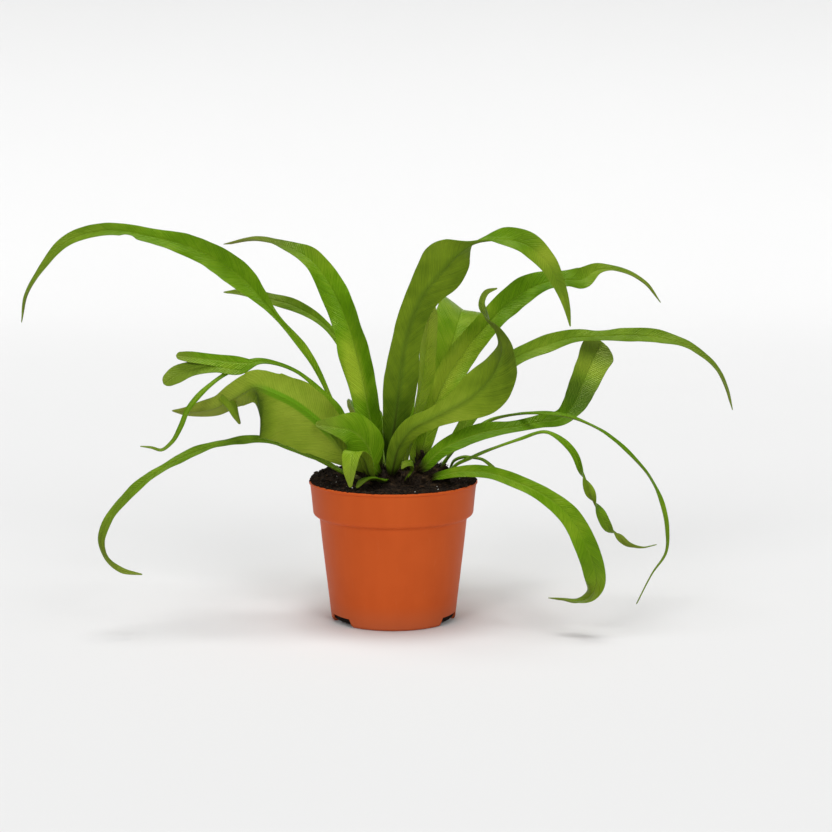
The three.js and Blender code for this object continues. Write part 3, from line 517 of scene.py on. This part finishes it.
def pot_material():
    """Terracotta-coloured plastic with a soft shine, faint flow marks, scuffs and dust."""
    look, tree, shader = new_material("pot_plastic")
    place = object_place(tree)
    parts = add_node(tree, "ShaderNodeSeparateXYZ", {0: place}).outputs
    stretched = {i: multiply(tree, parts[i], scale) for i, scale in enumerate((60.0, 60.0, 9.0))}
    flow = add_node(tree, "ShaderNodeCombineXYZ", stretched).outputs[0]
    flows = noise(tree, flow, 1.0, 3.0, 0.55)
    cloud = noise(tree, place, 28.0, 3.0, 0.5)
    grain = noise(tree, place, 2600.0, 2.0, 0.6)
    scuffs = between(tree, noise(tree, flow, 5.5, 5.0, 0.7), 0.6, 0.74)
    colour = blend_colours(tree, flows, (0.54, 0.084, 0.015, 1), (0.62, 0.108, 0.021, 1))
    colour = layered(tree, colour, [
        (between(tree, cloud, 0.35, 0.75, 0.0, 0.35), (0.49, 0.074, 0.013, 1)),
        (multiply(tree, scuffs, 0.1), (0.66, 0.22, 0.1, 1)),
        (multiply(tree, between(tree, parts[2], 0.02, 0.0), 0.22), (0.36, 0.17, 0.1, 1)),
    ])
    rough = calculate(tree, "MULTIPLY_ADD", flows, 0.14, 0.42)
    rough = calculate(tree, "MULTIPLY_ADD", scuffs, 0.12, rough)
    relief = calculate(tree, "MULTIPLY_ADD", grain, 0.12, multiply(tree, flows, 1.0))
    set_inputs(tree, shader, {"Base Color": colour, "Roughness": rough, "Specular IOR Level": 0.12,
                              "Specular Tint": (1.0, 0.6, 0.4, 1), "Normal": bump(tree, relief, 0.00022)})
    return look


def earth_material(name, dark, light, red, roughness, scale, depth):
    """Peat, bark or fibre: dark, rough and mottled."""
    look, tree, shader = new_material(name)
    place = object_place(tree)
    fine = noise(tree, place, scale, 5.0, 0.65)
    broad = noise(tree, place, scale * 0.22, 3.0, 0.5)
    colour = blend_colours(tree, between(tree, fine, 0.35, 0.68), dark, light)
    colour = blend_colours(tree, between(tree, broad, 0.52, 0.72, 0.0, 0.7), colour, red)
    rough = between(tree, fine, 0.3, 0.7, roughness, min(roughness + 0.12, 1.0))
    set_inputs(tree, shader, {"Base Color": colour, "Roughness": rough, "Specular IOR Level": 0.12,
                              "Normal": bump(tree, fine, depth)})
    return look


LEAF_UPPER = leaf_material("leaf_upper", True)
LEAF_UNDER = leaf_material("leaf_under", False)
POT_PLASTIC = pot_material()
PEAT = earth_material("peat", (0.006, 0.004, 0.003, 1), (0.028, 0.018, 0.011, 1), (0.045, 0.025, 0.012, 1),
                      0.82, 700.0, 0.001)
BARK = earth_material("bark", (0.012, 0.007, 0.004, 1), (0.06, 0.034, 0.018, 1), (0.1, 0.052, 0.024, 1),
                      0.72, 900.0, 0.0005)
FIBRE = earth_material("crown_fibre", (0.006, 0.004, 0.003, 1), (0.04, 0.024, 0.013, 1),
                       (0.085, 0.052, 0.024, 1), 0.7, 800.0, 0.0005)
PERLITE = earth_material("perlite", (0.62, 0.61, 0.57, 1), (0.86, 0.85, 0.82, 1), (0.5, 0.47, 0.4, 1),
                         0.78, 1200.0, 0.0003)


# Fronds

def midrib(frond):
    """Stations along a smooth run through the keys, from the root below the crown's surface."""
    keys = np.array(frond["keys"], float)
    if "name" in frond:
        way = unit(keys[1, :3] - keys[0, :3]) + (0, 0, STALK_RISE)
        root = keys[0, :3] - STALK_DEPTH * unit(way)
        keys = np.vstack([[*root, *keys[0, 3:]], keys])
    span = np.linalg.norm(np.diff(keys[:, :3], axis=0), axis=1)
    chord = np.diff(keys, axis=0) / span[:, None]
    share = (span[:-1] / (span[:-1] + span[1:]))[:, None]
    slope = np.vstack([chord[:1], chord[:-1] * (1 - share) + chord[1:] * share, chord[-1:]])
    before = np.concatenate([[0], np.cumsum(span)])
    rows, rates, along = [], [], []
    for i, h in enumerate(span):
        last = i == len(span) - 1
        steps = int(np.clip(round(h / (TIP_STEP if last else STATION_STEP)), 4, 24))
        u = np.arange(steps + (1 if last else 0))[:, None] / steps
        rows.append((1 + 2 * u) * (1 - u) ** 2 * keys[i] + u * (1 - u) ** 2 * h * slope[i]
                    + u * u * (3 - 2 * u) * keys[i + 1] + u * u * (u - 1) * h * slope[i + 1])
        rates.append((6 * u * u - 6 * u) * keys[i] + (3 * u * u - 4 * u + 1) * h * slope[i]
                     + (6 * u - 6 * u * u) * keys[i + 1] + (3 * u * u - 2 * u) * h * slope[i + 1])
        along.append(before[i] + u * h)
    rows, rates, along = np.vstack(rows), np.vstack(rates), np.vstack(along)
    return {
        "place": rows[:, :3],
        "way": unit(rates[:, :3]),
        "width": widths(rows[:, 3:4], along, keys[-1, 3]),
        "widest": keys[:, 3].max(),
        "tilt": np.radians(rows[:, 4:5]),
        "lean": rows[:, 5:6] if rows.shape[1] > 5 else 0,
        "along": along,
        "part": along / before[-1],
        "fade": np.exp(-np.maximum(along - STALK_DEPTH, 0) / STALK_FADE),
    }


def widths(keyed, along, end_width):
    """The blade's width at each station, rounded off at a tip that isn't pointed."""
    width = np.maximum(keyed, LEAST_WIDTH)
    blunt = min(end_width / 2, BLUNT_TIP)
    if blunt > POINTED_TIP:
        width = width * np.sqrt(1 - np.clip((along - along[-1]) / blunt + 1, 0, 0.998) ** 2)
    width[-1] = TIP_WIDTH
    return width


def across_rows(width):
    """Places across the blade from -1 to 1 at each station, closer together by the midrib."""
    half = width / 2
    inner = [np.minimum(mm / half, share) for mm, share in INNER_ROWS]
    outer = [np.full_like(half, share) for share in OUTER_ROWS]
    right = np.hstack(inner + outer)
    return np.hstack([-right[:, ::-1], np.zeros_like(half), right])


def distances(frond, run, s, seed):
    """Distances of the points from the midrib, with ragged and nicked margins."""
    along, side = run["along"], np.sign(s)
    ragged = 1 + 0.035 * smooth_noise([along / 7 + 11 * side], seed) * ramp(along, 20, 60)
    for at, nick_side, depth, length in frond["nicks"]:
        ragged = ragged - (side == nick_side) * depth * np.exp(-((along - at) / length) ** 4)
    return s * (1 + run["lean"] * side) * run["width"] / 2 * ragged


def face_ways(frond, run):
    """The way the upper face looks at each station."""
    turn, way = math.radians(frond["heading"]), run["way"]
    level = np.array([-math.sin(turn), math.cos(turn), 0.0])
    level = unit(level - (way @ level)[:, None] * way)
    upper = np.cross(way, level)
    front = level * (-1 if math.cos(turn) > 0 else 1)
    return np.cos(run["tilt"]) * upper + np.sin(run["tilt"]) * front


def untangle(lines, way):
    """Evens out lines along the blade where the inside of a bend would fold over itself."""
    for _ in range(80):
        step = np.diff(lines, axis=0)
        ahead = (step * (way[1:] + way[:-1])[:, None] / 2).sum(-1)
        tight = ahead < 0.3
        if not tight.any():
            break
        near = np.zeros(lines.shape[:2], bool)
        near[1:] |= tight
        near[:-1] |= tight
        near[1:-1] |= near[2:] | near[:-2]
        near[[0, -1]] = False
        even = lines.copy()
        even[1:-1] = (lines[:-2] + 2 * lines[1:-1] + lines[2:]) / 4
        lines = np.where(near[..., None], even, lines)
    return lines


def middle_sheet(frond, run, face, s, d, seed):
    """The sheet halfway through the blade: folded at the midrib, waved at the margins."""
    width, part, fade, way = run["width"], run["part"], run["fade"], run["way"]
    out, side, wave = np.cross(face, way), np.sign(s), frond["wave"]
    fold = math.radians(frond["fold"]) * (1 - fade ** 2)
    swell = np.abs(np.sin(math.pi * np.minimum(part * 1.02, 1))) ** 0.6 * width / run["widest"]
    beat = frond["waves"] * part + frond["phase"] + np.where(s > 0, 0.3, 0)
    round_off = np.minimum(1.2, 0.1 * width)
    lift = (np.sqrt(d * d + round_off ** 2) - round_off) * np.sin(fold) * (1.12 - 0.12 * np.abs(s))
    lift += wave * swell * s * s * np.sin(TURN * beat)
    lift += 0.2 * wave * swell * np.abs(s) ** 3 * np.sin(TURN * (beat * 2.7 + 0.41 * side))
    uneven = smooth_noise([run["along"] / 6, d / 4 + 9 * side], seed + 1)
    lift += 0.16 * uneven * np.minimum(width / 12, 1) * (1 - fade)
    shift = -np.where(s < 0, *frond["hang"]) * np.abs(d) * (1 - fade)
    middle = run["place"][:, None] + way[:, None] * shift[..., None]
    middle = middle + out[:, None] * (d * np.cos(fold))[..., None] + face[:, None] * lift[..., None]
    return untangle(middle, way)


def thicken(run, face, s, d, middle):
    """Upper and lower points, with a fine groove above the midrib and a rib below it."""
    width, fade = run["width"], run["fade"]
    rib = RIB + (np.minimum(STALK, width * 0.7) - RIB) * fade
    rise = EDGE + FACE_RISE * (1 - s * s)
    groove = 0.30 * np.exp(-(d / 0.5) ** 2) - 0.12 * np.exp(-((np.abs(d) - 1.1) / 0.5) ** 2)
    groove *= ramp(width, 1.5, 6) * (1 - s ** 2)
    rib_shape = fade * (1 - s * s) ** 0.8 + (1 - fade) * np.exp(-(d / 1.1) ** 2)
    depth = rise + (rib - MARGIN) * rib_shape * np.minimum(width / 3, 1)
    slim = 0.4 + 0.6 * ramp(width, 0.2, 3)
    top = middle + face[:, None] * ((rise - groove) * slim)[..., None]
    bottom = middle - face[:, None] * (depth * slim)[..., None]
    return np.concatenate([top, bottom], axis=1).reshape(-1, 3)


def blade_faces(count, wide):
    """Faces over count stations of wide upper and wide lower points, and the material of each."""
    ring = 2 * wide
    faces, slots = [], []
    for here in range(0, (count - 1) * ring, ring):
        there = here + ring
        for j in range(wide - 1):
            faces.append((here + j, there + j, there + j + 1, here + j + 1))
            a, b = here + wide + j, there + wide + j
            faces.append((a, a + 1, b + 1, b))
            slots += [0, 1]
        faces.append((here, here + wide, there + wide, there))
        faces.append((here + wide - 1, there + wide - 1, there + ring - 1, here + ring - 1))
        slots += [0, 0]
    last = (count - 1) * ring
    faces.append((*range(wide), *range(ring - 1, wide - 1, -1)))
    faces.append((*range(last + wide - 1, last - 1, -1), *range(last + wide, last + ring)))
    return faces, slots + [1, 1]


def blade_marks(frond, run, s, d):
    """Per point, for the materials: its place on the blade, and how fresh, brown and dark it is; how fresh
    holds the painted highlights and painted shade of the shades patches.
    """
    along = run["along"] + 0 * s
    own_root = 1.0 if "name" in frond else 0.0
    brown_end = frond["dark"] + STALK_DEPTH
    brown = own_root * ramp(along, brown_end, brown_end * 0.45)
    olive, tip_olive = frond["olive"]
    olive = olive + (tip_olive - olive) * ramp(along / along.max(), 0.62, 1.0)
    brown = brown - olive * ramp(brown, 0.3, 0.0)
    rib_dark = own_root * ramp(along, frond["rib_dark"] + STALK_DEPTH, STALK_DEPTH)
    for at, long in frond["channels"]:
        rib_dark = rib_dark - 1.3 * np.exp(-((along - at) / long) ** 4)
    # The shades patches: painted highlights above 0 and painted shade below 0, added to how fresh.
    shade = 0 * s
    for at, across, long, broad, amount in frond["shades"]:
        shade = shade + amount * np.exp(-((along - at) / long) ** 2 - ((s - across) / broad) ** 2)
    upper, under = frond["fresh"]
    leaf = np.stack([d, along, s], axis=2)
    tints = [np.stack([fresh + shade, brown, rib_dark], axis=2) for fresh in (upper, under)]
    return {
        "leaf": np.concatenate([leaf, leaf], axis=1).reshape(-1, 3),
        "tint": np.concatenate(tints, axis=1).reshape(-1, 3),
    }


def blade(frond, seed):
    """Points, faces, the material of each face, and marks for the materials."""
    frond = {**USUAL, **frond}
    run = midrib(frond)
    face = face_ways(frond, run)
    s = across_rows(run["width"])
    d = distances(frond, run, s, seed)
    middle = middle_sheet(frond, run, face, s, d, seed)
    points = thicken(run, face, s, d, middle)
    faces, slots = blade_faces(*s.shape)
    return points, faces, slots, blade_marks(frond, run, s, d)


def outward(points, faces):
    """The same faces, turned where the closed body would be inside out."""
    volume = sum(np.dot(points[f[0]], np.cross(points[f[k]], points[f[k + 1]]))
                 for f in faces for k in range(1, len(f) - 1))
    return faces if volume > 0 else [f[::-1] for f in faces]


def frond_piece(frond, index):
    points, faces, slots, marks = [], [], [], {"leaf": [], "tint": []}
    lobes = [lobe for lobe in LOBES if lobe["of"] == frond["name"]]
    for number, shape in enumerate([frond] + lobes):
        own_points, own_faces, own_slots, own_marks = blade(shape, 10 * index + number)
        own_faces = outward(own_points, own_faces)
        start = sum(len(p) for p in points)
        points.append(own_points)
        faces += [tuple(start + v for v in f) for f in own_faces]
        slots += own_slots
        for label in marks:
            marks[label].append(own_marks[label])
    marks = {label: np.vstack(values) for label, values in marks.items()}
    piece = add_piece("fern_" + frond["name"], np.vstack(points), faces, [LEAF_UPPER, LEAF_UNDER],
                      slots, marks)
    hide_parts("frond_" + frond["name"])


# Pot

def pot_profile():
    """The pot's outline, up the outside and down the inside."""
    foot, step, collar, rim = POT_FOOT_RADIUS, STEP_RADIUS, COLLAR_LOW_RADIUS, POT_RIM_RADIUS
    wall, step_z, collar_z, lip_z = POT_WALL, STEP_Z, COLLAR_LOW_Z, POT_HEIGHT - LIP_HEIGHT
    return [
        [0, 0], [15, 0], [30, 0], [foot - 2.5, 0], [foot - 1.4, 0.2], [foot - 0.6, 0.8],
        [foot - 0.1, 1.7], [foot, 2.5], [foot + 2.0, 20], [foot + 4.0, 37], [foot + 6.0, 54],
        [step - 0.05, step_z - 0.6], [step + 0.1, step_z + 0.1], [step + 0.5, step_z + 0.7],
        [step + 1.2, step_z + 1.2], [collar - 1.3, collar_z - 2.2], [collar - 0.6, collar_z - 1.6],
        [collar - 0.15, collar_z - 0.8], [collar, collar_z], [collar + 1.0, collar_z + 11],
        [rim - LIP, lip_z], [rim - 0.3, lip_z + 0.2], [rim, lip_z + 0.6], [rim, POT_HEIGHT - 0.6],
        [rim - 0.2, POT_HEIGHT - 0.15], [rim - 0.6, POT_HEIGHT],
        [rim - LIP - wall + 0.4, POT_HEIGHT - 0.05], [rim - LIP - wall, POT_HEIGHT - 0.3],
        [collar - wall, collar_z + 0.6], [step - wall, step_z + 1.6],
        [foot - wall + 0.2, POT_FLOOR + 1], [foot - wall - 0.8, POT_FLOOR], [0, POT_FLOOR],
    ]


def lathe(profile, sides):
    """A closed turned body from a profile that starts and ends on the axis."""
    turn = np.arange(sides) / sides * TURN
    points = [(0, 0, profile[0][1])]
    for r, z in profile[1:-1]:
        points += [(r * math.cos(t), r * math.sin(t), z) for t in turn]
    points.append((0, 0, profile[-1][1]))
    return np.array(points, float), closed_faces(sides, len(profile) - 2)


def notch_wedge(angle):
    """A wedge wider at the floor, reaching through the foot of the wall."""
    c, s = math.cos(math.radians(angle)), math.sin(math.radians(angle))
    low, top = NOTCH_LOW_WIDTH / 2, NOTCH_TOP_WIDTH / 2
    outline = [(-low, -1), (low, -1), (top, NOTCH_HEIGHT), (-top, NOTCH_HEIGHT)]
    points = [(r * c - y * s, r * s + y * c, z) for r in NOTCH_DEPTH for y, z in outline]
    faces = [(3, 2, 1, 0), (4, 5, 6, 7), (0, 1, 5, 4), (1, 2, 6, 5), (2, 3, 7, 6), (3, 0, 4, 7)]
    return add_mesh("notch", np.array(points) * MM, faces)


def pot_piece():
    points, faces = lathe(pot_profile(), POT_SIDES)
    pot = add_piece("nursery_pot", points, faces, [POT_PLASTIC])
    wedges = [notch_wedge(angle) for angle in NOTCH_ANGLES]
    for wedge in wedges:
        cut = pot.modifiers.new("notch", "BOOLEAN")
        cut.operation, cut.solver, cut.object = "DIFFERENCE", "EXACT", wedge
    shape = bpy.data.meshes.new_from_object(pot.evaluated_get(bpy.context.evaluated_depsgraph_get()))
    pot.modifiers.clear()
    pot.data = shape
    shape.name = "nursery_pot"
    for wedge in wedges:
        bpy.data.objects.remove(wedge)
    shape.polygons.foreach_set("use_smooth", np.ones(len(shape.polygons), bool))
    shape.set_sharp_from_angle(angle=math.radians(34))
    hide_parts("pot")


# Soil and crown

def crown_height(x, y):
    left = 8 * np.exp(-((x + 8) ** 2 + (y + 1) ** 2) / 16 ** 2)
    right = 17 * np.exp(-((x - 24) ** 2 + (y - 3) ** 2) / 13 ** 2)
    return CROWN_LEVEL + left + right


def soil_height(x, y, part):
    heap = SOIL_HEAP * np.exp(-((x + 38) ** 2 + (y - 22) ** 2) / 24 ** 2)
    lumps = 0.7 * np.sin(0.37 * x + 1.1) * np.cos(0.41 * y) + 0.5 * np.sin(0.71 * x - 0.53 * y)
    return SOIL_LEVEL + heap + lumps * (1 - part ** 4)


def mound(cx, cy, long, short, sides, rings, height, skirt):
    """A closed body under a height field on an ellipse, closed below by the skirt's rings."""
    turn = np.arange(sides) / sides * TURN
    points = [np.array([[cx, cy, height(np.array([cx]), np.array([cy]), 0.0)[0]]])]
    for part, z in [(ring / rings, None) for ring in range(1, rings + 1)] + skirt:
        x, y = cx + long * part * np.cos(turn), cy + short * part * np.sin(turn)
        level = height(x, y, part) if z is None else np.full(sides, float(z))
        points.append(np.stack([x, y, level], axis=1))
    points.append(np.array([[cx, cy, float(skirt[-1][1])]]))
    downward = closed_faces(sides, rings + len(skirt))
    return np.vstack(points), [(f[0], *f[:0:-1]) for f in downward]


def in_crown(x, y, grow=0.0):
    return ((x - CROWN_X) / (CROWN_LONG + grow)) ** 2 + ((y - CROWN_Y) / (CROWN_SHORT + grow)) ** 2 < 1


def fine_soil(x, y, part):
    """The soil's surface with its crumbs, heaped at the rim and low where the crown sits."""
    lumps = 0.55 * smooth_noise([x / 1.9, y / 1.9], 71) + 0.35 * smooth_noise([x / 0.9, y / 0.9], 72)
    rim_heap = 1.5 * ramp(part, 0.8, 0.96) * (1 - 0.6 * ramp(-y, 10, 50))
    z = soil_height(x, y, part) + lumps * (1 - 0.4 * part ** 12) + rim_heap
    return np.where(in_crown(x, y, -1.5), CROWN_BOTTOM + 4.0, z)


def soil_piece():
    room = POT_WALL + 2 * GAP
    outline = [(COLLAR_LOW_RADIUS, COLLAR_LOW_Z + 1), (STEP_RADIUS, STEP_Z + 2),
               (POT_FOOT_RADIUS, POT_FLOOR + GAP)]
    skirt = [((radius - room) / SOIL_RADIUS, z) for radius, z in outline]
    points, faces = mound(0, 0, SOIL_RADIUS, SOIL_RADIUS, 200, 75, fine_soil, skirt)
    soil = add_piece("potting_soil", points, faces, [PEAT])
    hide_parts("soil")


def fine_crown(x, y, part):
    lumps = 0.9 * smooth_noise([x / 1.6, y / 1.6], 81) + 0.5 * smooth_noise([x / 0.7, y / 0.7], 82)
    return crown_height(x, y) + 0.4 + lumps * (1 - part ** 8)


def strand(points, faces, foot, way, length, radius, bend, draw, flat=1.0):
    """A tapering fibre or scale that leaves foot along way and bends as it goes."""
    sides, steps = 4, 5
    way = np.array(way) / np.linalg.norm(way)
    across = np.cross(way, (0.3, 0.5, 0.8))
    across /= np.linalg.norm(across)
    start, place = len(points), np.array(foot, float)
    for step in range(steps + 1):
        share = step / steps
        other = np.cross(way, across)
        thick = radius * (1 - share) ** 0.6 + 0.04
        for k in range(sides):
            turn = k / sides * TURN
            points.append(place + thick * (across * math.cos(turn) + other * math.sin(turn) * flat))
        place = place + way * length / steps
        way = way + np.array([draw.uniform(-bend, bend) for _ in range(3)])
        way /= np.linalg.norm(way)
        across = across - way * np.dot(across, way)
        across /= np.linalg.norm(across)
    faces += ring_faces(start, sides, steps) + end_faces(start, sides, steps)


def crown_piece():
    points, faces = mound(CROWN_X, CROWN_Y, CROWN_LONG, CROWN_SHORT, 150, 44, fine_crown,
                          [(1.0, CROWN_BOTTOM)])
    crown = add_piece("fern_crown", points, faces, [FIBRE])
    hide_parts("crown")


def stub_pieces():
    """Old stalk stubs: rough, leaning a little, torn off at the top."""
    draw = random.Random(31)
    points, faces = [], []
    for x, y, lean_x, lean_y, length, radius in STUBS:
        start, sides, steps = len(points), 12, 9
        way = np.array([lean_x, lean_y, length], float)
        way /= np.linalg.norm(way)
        across = unit(np.cross(way, (0.1, 1.0, 0.2)))
        other = np.cross(way, across)
        foot = np.array([x, y, crown_height(x, y)])
        for step in range(steps + 1):
            share = step / steps
            for k in range(sides):
                turn = k / sides * TURN
                rough = 1 + 0.14 * math.sin(3 * turn + x) + draw.uniform(-0.07, 0.07)
                thick = radius * (1 - 0.3 * share) * rough
                torn = draw.uniform(-1.3, 0.0) if step == steps else 0.0
                reach = way * (length * share - STUB_DEPTH + torn)
                points.append(foot + reach + thick * (across * math.cos(turn) + other * math.sin(turn)))
        faces += ring_faces(start, sides, steps)
        points += [foot - way * STUB_DEPTH, foot + way * (length - STUB_DEPTH - 1)]
        low, high, last = len(points) - 2, len(points) - 1, start + steps * sides
        faces += [(low, start + (k + 1) % sides, start + k) for k in range(sides)]
        faces += [(high, last + k, last + (k + 1) % sides) for k in range(sides)]
    add_piece("old_stalk_stubs", np.array(points), faces, [FIBRE])


def fibre_pieces():
    """Papery scales round every stalk, and loose root fibres over the crown."""
    draw = random.Random(32)
    points, faces = [], []
    for frond in FRONDS:
        foot, following = np.array([key[:3] for key in frond["keys"][:2]], float)
        way = unit(following - foot)
        for _ in range(SCALES_PER_STALK):
            turn = draw.uniform(0, TURN)
            out = np.array([math.cos(turn), math.sin(turn), 0.0])
            place = foot + out * draw.uniform(1.4, 2.9) - way * draw.uniform(1.0, 3.0)
            place[2] = min(place[2], float(crown_height(place[0], place[1])) + 1.0)
            strand(points, faces, place, way + out * draw.uniform(0.1, 0.5), draw.uniform(4.5, 9.5),
                   draw.uniform(0.35, 0.75), 0.16, draw, flat=0.3)
    for _ in range(ROOT_FIBRES):
        turn, share = draw.uniform(0, TURN), math.sqrt(draw.uniform(0, 1)) * 0.97
        x = CROWN_X + CROWN_LONG * share * math.cos(turn)
        y = CROWN_Y + CROWN_SHORT * share * math.sin(turn)
        way = (draw.uniform(-0.8, 0.8) + 0.5 * math.cos(turn),
               draw.uniform(-0.8, 0.8) + 0.5 * math.sin(turn), draw.uniform(0.15, 1.0))
        foot = (x, y, float(crown_height(x, y)) - 0.4)
        strand(points, faces, foot, way, draw.uniform(3.0, 8.0), draw.uniform(0.14, 0.34), 0.35, draw)
    add_piece("crown_fibres", np.array(points), faces, [FIBRE])


def crumb(points, faces, centre, size, flat, draw):
    """An uneven lump of eight corners with bevelled sides, sunk a little where it lies."""
    start, sides = len(points), 6
    turn = draw.uniform(0, TURN)
    c, s = math.cos(turn), math.sin(turn)
    levels = [(-0.75, 0.55), (-0.2, 1.0), (0.35, 0.92), (0.8, 0.45)]
    for z, r in levels:
        for k in range(sides):
            a = k / sides * TURN + draw.uniform(-0.2, 0.2)
            reach = r * draw.uniform(0.75, 1.2)
            x, y = reach * math.cos(a), 0.72 * reach * math.sin(a)
            height = z * flat * draw.uniform(0.8, 1.15)
            points.append(centre + size * np.array([x * c - y * s, x * s + y * c, height]))
    steps = len(levels) - 1
    faces += ring_faces(start, sides, steps) + end_faces(start, sides, steps)


def ground_height(x, y):
    return float(fine_soil(np.array([x]), np.array([y]), math.hypot(x, y) / SOIL_RADIUS)[0])


def ground_place(draw):
    """A place on the soil, outside the crown, with its height."""
    while True:
        turn, reach = draw.uniform(0, TURN), CRUMB_REACH * math.sqrt(draw.uniform(0, 1))
        x, y = reach * math.cos(turn), reach * math.sin(turn)
        if not in_crown(x, y, 0.5):
            return x, y, ground_height(x, y)


def rim_crumbs(points, faces, draw):
    """Crumbs heaped against the rim and spilled onto it, most at the back and the sides."""
    near, far = RIM_CRUMB_REACH
    for _ in range(RIM_CRUMBS):
        behind = draw.random() < 0.8
        turn = math.radians(draw.triangular(-40, 220, 90) if behind else draw.uniform(180, 360))
        size = 0.6 + 1.5 * draw.random() ** 1.8
        reach = draw.uniform(near, far - 0.5 * size)
        x, y = reach * math.cos(turn), reach * math.sin(turn)
        floor = POT_HEIGHT if reach > RIM_INNER_RADIUS else max(ground_height(x, y), POT_HEIGHT - 0.6)
        crumb(points, faces, (x, y, floor + size * 0.35), size, 0.75, draw)


def crumb_pieces():
    """Crumbs of peat, chips of bark and white grains lying on the soil."""
    draw = random.Random(41)
    # Name, material, how many, smallest and largest size, share of the size in height
    kinds = [("soil_crumbs", PEAT, 1500, 0.5, 1.5, 0.8), ("bark_chips", BARK, 170, 1.0, 2.6, 0.35),
             ("perlite_grains", PERLITE, 34, 0.35, 0.85, 0.9)]
    for name, look, count, small, large, flat in kinds:
        points, faces = [], []
        for _ in range(count):
            x, y, z = ground_place(draw)
            size = small + (large - small) * draw.random() ** 2.2
            crumb(points, faces, (x, y, z + size * flat * 0.25), size, flat, draw)
        if name == "soil_crumbs":
            rim_crumbs(points, faces, draw)
        add_piece(name, np.array(points), faces, [look])


# Stage, light and camera

def sweep_floor():
    """A pale floor that turns up into a pale wall far behind."""
    look, tree, shader = new_material("studio_floor")
    mottle = noise(tree, object_place(tree), 3.0, 2.0, 0.5)
    colour = blend_colours(tree, mottle, (0.8, 0.8, 0.798, 1), (0.812, 0.812, 0.81, 1))
    set_inputs(tree, shader, {"Base Color": colour, "Roughness": 0.9, "Specular IOR Level": 0.0})
    profile = [(FLOOR_FRONT, 0.0), (FLOOR_BACK, 0.0)]
    profile += [(FLOOR_BACK + WALL_BEND * math.sin(a), WALL_BEND - WALL_BEND * math.cos(a))
                for a in np.linspace(0.1, math.pi / 2, 14)]
    points = [(x, y, z) for y, z in profile for x in (-FLOOR_HALF_WIDTH, FLOOR_HALF_WIDTH)]
    faces = [(2 * i, 2 * i + 1, 2 * i + 3, 2 * i + 2) for i in range(len(profile) - 1)]
    floor = add_mesh("studio_floor", points, faces)
    floor.data.materials.append(look)


def soft_light(name, place, spread, strength):
    """A far, broad light: spread is the angle it covers in the sky, in degrees."""
    light = bpy.data.lights.new(name, "SUN")
    light.angle, light.energy = math.radians(spread), strength
    aim(bpy.data.objects.new(name, light), place, LIT_PLACE)


def aim(thing, place, target):
    bpy.context.scene.collection.objects.link(thing)
    thing.location = place
    way = np.array(target) - place
    flat = math.hypot(way[0], way[1])
    thing.rotation_euler = (math.atan2(flat, -way[2]), 0, math.atan2(way[1], way[0]) - math.pi / 2)


def light_and_camera():
    scene = bpy.context.scene
    scene.view_settings.view_transform = "Standard"
    world = bpy.data.worlds.new("studio")
    world.use_nodes = True
    set_inputs(world.node_tree, world.node_tree.nodes["Background"], SKY)
    scene.world = world
    for name, place, spread, strength in LIGHTS:
        soft_light(name, place, spread, strength)
    view = bpy.data.cameras.new("camera")
    view.lens, view.sensor_width = CAMERA_LENS, SENSOR_WIDTH
    camera = bpy.data.objects.new("camera", view)
    aim(camera, CAMERA_PLACE, CAMERA_TARGET)
    scene.camera = camera


pot_piece()
soil_piece()
crown_piece()
stub_pieces()
fibre_pieces()
crumb_pieces()
for order, one in enumerate(FRONDS):
    frond_piece(one, order)
sweep_floor()
light_and_camera()
